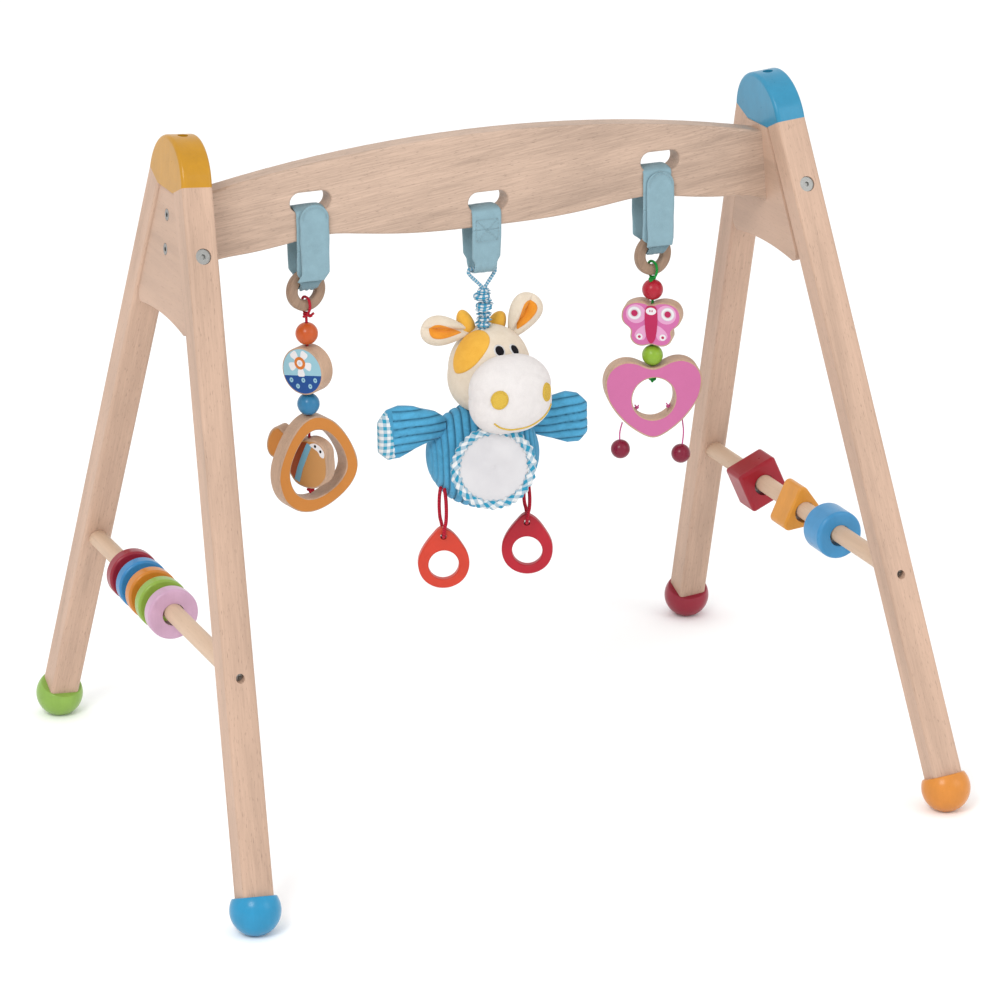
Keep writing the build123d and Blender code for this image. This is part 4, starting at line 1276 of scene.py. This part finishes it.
def make_arm(name, side, z, cuff, node=None):
    """Flat stuffed arm with lengthwise wales; the left one ends in a checked cuff."""
    n, m = 90, 150
    rows, marks, heights = [], [], []
    for i in range(n + 1):
        t = i / n
        x = ARM_ROOT + ARM_LONG * t
        top, low = along(ARM_TOP, x), along(ARM_LOW, x)
        tip = math.sqrt(max(0.0, 1 - max(0.0, (x - 82) / 10.2) ** 2))
        half, mid = (top - low) / 2 * (0.9 + 0.1 * tip), (top + low) / 2
        thick = 7.6 * (0.55 + 0.45 * min(1, (x - ARM_ROOT) / 14)) * (0.12 + 0.88 * tip)
        row, mark, height = [], [], []
        for a in round_angles(m):
            c, s = math.cos(a), math.sin(a)
            up = mid + math.copysign(abs(s) ** 0.85, s) * half
            out = math.copysign(abs(c) ** 0.7, c)
            ridge = wale_profile(up * MM * (1 + 0.12 * (1 - t)) + 2.2 * MM)
            fade = min(1.0, 3.5 * abs(c)) * (0.0 if cuff and t > 0.80 else 1.0)
            q = mm(ARM_X + side * x, 2.0 - out * (thick - (1 - ridge) * 2.0 * fade), z + up)
            row.append(q + swirl(q, 0.018, 0.9 * MM, 5.0 + side))
            mark.append((up * MM, x * MM, 0))
            # height mark for the corduroy's painted shade in the furrows and painted highlight on the crests
            height.append(ridge * fade + (1 - fade) * 0.75)
        rows.append(row)
        marks.append(mark)
        heights.append(height)
    mats = [CORD_BLUE, GINGHAM_WIDE] if cuff else [CORD_BLUE]
    obj = skin(name, rows, mats, cloth=marks, height=heights)
    for f in obj.data.polygons if cuff else ():
        c = f.center / MM
        if side * (c.x - ARM_X) > ARM_ROOT + ARM_LONG * 0.83 + 0.16 * (c.z - z):
            f.material_index = 1
    finish_soft(obj, node)


def head_push(d, p):
    cheek = max(0.0, -d.x) * max(0.0, -d.z)
    p = p * (1 + 0.20 * cheek) + swirl(p, 0.03, 0.7 * MM, 9.0)
    return p - d * hill(d.y - 0.05, 1 / 34) * 0.6 * MM, 1.0


def muzzle_push(d, p):
    low = 1 + 0.05 * max(0.0, -d.z)
    full = 1 + 0.05 * max(0.0, -d.z) * (1 - abs(d.x))
    p = p * (1 + 0.14 * abs(d.x * d.z))
    p = Vector((p.x * low, p.y * full, p.z)) + swirl(p, 0.026, 0.8 * MM, 13.0)
    groove = hill(d.z - (0.66 - 0.95 * (d.x - 0.2) ** 2), 1 / 17) if d.y < 0 else 0.0
    return p - d * groove * 0.55 * MM, 1.0


HEAD = ((4.0, 2, 342.0), (34.0, 31.0, 36.0), head_push)
MUZZLE = ((8.0, -31, 328.3), (35.0, 22.0, 32.2), muzzle_push)
PATCH_RIM = [(-0.96, -0.26, 0.04), (-0.97, -0.10, 0.22), (-0.84, -0.02, 0.55), (-0.62, 0.02, 0.79),
             (-0.42, -0.05, 0.91), (-0.24, -0.21, 0.95), (-0.17, -0.50, 0.85), (-0.28, -0.69, 0.66),
             (-0.56, -0.74, 0.38), (-0.81, -0.57, 0.14)]
SMILE = [(-0.50, -0.62, -0.52), (-0.38, -0.62, -0.66), (-0.18, -0.62, -0.76), (0.06, -0.62, -0.78),
         (0.34, -0.60, -0.72), (0.60, -0.56, -0.56), (0.76, -0.50, -0.40), (0.84, -0.44, -0.27)]
EYES = ((-0.03, -0.80, 0.58, 0.105), (0.37, -0.75, 0.55, 0.095))
NOSTRILS = ((-0.48, -0.87, 0.07, 0.22), (0.735, -0.67, 0.07, 0.18))


def on_cloth(form, d, lift):
    """Point on a stuffed form in one direction, raised a little."""
    at, radii, push = form
    return mm(*at) + push(d, on_form(d, radii))[0] + d * lift


def applique(name, rim, form, lift, mat, rings, steps):
    """Cloth patch sewn on a stuffed form; its rim is a list of directions."""
    edge = [p.normalized() for p in smooth_line(rim, steps, closed=True)]
    heart = sum(edge, Vector()).normalized()
    rows = []
    for k in range(1, rings + 1):
        f = k / rings
        rise = lift * MM * min(1.0, (1 - f) * 9 + 0.25)
        rows.append([on_cloth(form, heart.lerp(d, f).normalized(), rise) for d in edge])
    rows.append([on_cloth(form, d, -0.8 * MM) for d in edge])
    finish(skin(name, rows, [mat]), "cow")


def disc_rim(centre, across, rise, lean=0.0, count=14):
    """Directions round an oval on a stuffed form."""
    c = Vector(centre).normalized()
    side = UP.cross(c).normalized()
    up = c.cross(side)
    return [(c + side * x + up * y).normalized()
            for x, y in turned(ellipse(0, 0, across, rise, count), math.degrees(lean))]


def make_head():
    head = stuffed("cow_head_plush", HEAD[0], HEAD[1], CREAM, head_push, 110, 170)
    finish_soft(head, node="cow_head")
    muzzle = stuffed("cow_muzzle_plush", MUZZLE[0], MUZZLE[1], PALE, muzzle_push, 120, 180)
    finish_soft(muzzle)
    rim = [Vector(p).normalized() for p in PATCH_RIM]
    applique("cow_eye_patch", rim, HEAD, 0.9, YELLOW, 18, 6)
    for i, (*at, w) in enumerate(EYES):
        applique(f"cow_eye_rim_{i}", disc_rim(at, w + 0.03, 0.165, 0.25), HEAD, 0.5, INK_WHITE, 6, 4)
        applique(f"cow_eye_{i}", disc_rim(at, w, 0.130, 0.25), HEAD, 1.1, INK_BLACK, 8, 4)
    for i, (*at, w) in enumerate(NOSTRILS):
        applique(f"cow_nostril_{i}", disc_rim(at, w, 0.245), MUZZLE, 0.8, GOLD, 8, 4)
        rope = [on_cloth(MUZZLE, d, 0.8 * MM) for d in disc_rim(at, w * 0.9, 0.21, 0, 40)]
        tube(f"cow_nostril_edge_{i}", [*rope, rope[0]], 0.55 * MM, GOLD, "cow", 8)
    rope = [on_cloth(MUZZLE, Vector(d).normalized(), 0.25 * MM) for d in SMILE]
    tube("cow_smile", smooth_line(rope, 8), 0.75 * MM, GOLD, "cow", 8)


def make_ear(name, centre, radii, tilt, side, node=None):
    """Folded ear: a cream leaf, hollow in front, with an orange lining."""
    fold, rings = 1.5, 14

    def push(d, p):
        p = Vector((p.x, p.y, p.z * (0.72 + 0.34 * (side * d.x + 0.2))))
        front, off = max(0.0, -d.y) * MM, p.z / MM - fold
        p.y += hill(off, 3.2) * front * 4.2 * (1 - 0.55 * max(0.0, side * d.x)) + hill(off, 1.1) * front * 2.0
        return p + swirl(p, 0.02, 0.5 * MM, 17.0 + side), 1.0

    shell = stuffed(name, centre, radii, CREAM, push, 70, 110, tilt=tilt)
    spin = Matrix.Rotation(math.radians(tilt), 3, "Y")
    grid = []
    for i in range(1, rings + 1):
        f = i / rings
        row = []
        for a in round_angles(56):
            x = 0.06 * side + 0.66 * f * math.cos(a)
            z = 0.60 * f * math.sin(a) * (0.62 + 0.38 * side * math.cos(a))
            d = Vector((x, -math.sqrt(max(0.02, 1 - x * x - z * z)), z))
            p = push(d, on_form(d, radii))[0] + FORWARD * 0.7 * MM * min(1, (1 - f) * 6 + 0.2)
            row.append(spin @ p + mm(*centre))
        grid.append(row)
    grid.append([p - FORWARD * 1.4 * MM for p in grid[-1]])
    finish(skin(name + "_lining", grid, [ORANGE]), "cow")
    finish_soft(shell, node=node)


def make_horn(name, centre, radii, tilt):
    def push(d, p):
        return Vector((p.x * (1 - 0.22 * d.z), p.y, p.z)) + swirl(p, 0.012, 0.5 * MM, 23.0), 1.0

    finish_soft(stuffed(name, centre, radii, YELLOW, push, 50, 70, tilt=tilt))


def on_mirror(r, a, height):
    return MIRROR_PLACE @ mm(r * math.cos(a), r * math.sin(a) * MIRROR_OVAL, height)


def make_mirror():
    """Slightly domed film in a padded binding of bias-cut check."""
    steps, spokes = 26, 96
    rows = []
    for f in [i / steps for i in range(1, steps + 1)]:
        domes = [1.9 - 0.9 * f * f + 0.12 * math.sin(3 * a + 5 * f) for a in round_angles(spokes)]
        rows.append([on_mirror(MIRROR_R * f, a, dome) for a, dome in zip(round_angles(spokes), domes)])
    rows.append([on_mirror(MIRROR_R, a, -1.0) for a in round_angles(spokes)])
    finish(skin("cow_mirror_film", rows, [mirror_film("mirror_film")]), "cow", "cow_mirror")
    hoop, marks = [], []
    for a in round_angles(420):
        puff = 1 + 0.20 * math.sin(34 * a) + 0.08 * math.sin(15 * a + 1)
        row, mark = [], []
        for b in round_angles(22):
            r, height = MIRROR_R + 2.6 + 3.6 * puff * math.cos(b), 0.9 + 2.7 * puff * math.sin(b)
            row.append(on_mirror(r, a + 0.05 * math.sin(b), height))
            mark.append(((28.0 * a + 3.82 * b) * MM, (14.0 * a - 2.546 * b) * MM, 0))
        hoop.append(row)
        marks.append(mark)
    binding = skin("cow_mirror_binding", hoop, [BIAS], wrap_rows=True, cloth=marks)
    finish_soft(binding, "cow_binding")


make_body()
make_arm("cow_arm_left", -1, 297.0, True, "cow_arms")
make_arm("cow_arm_right", 1, 290.0, False)
make_head()
make_ear("cow_ear_left", (-33.0, 4, 376.8), (21.5, 7, 15.0), 10, -1, "cow_ears_horns")
make_ear("cow_ear_right", (34.8, 4, 381.5), (19.5, 7, 16.5), -57, 1)
make_horn("cow_horn_left", (-14, 8, 380), (7.0, 6.5, 12.0), -20)
make_horn("cow_horn_right", (15, 12, 375), (7.5, 6.5, 11.0), 30)
make_mirror()
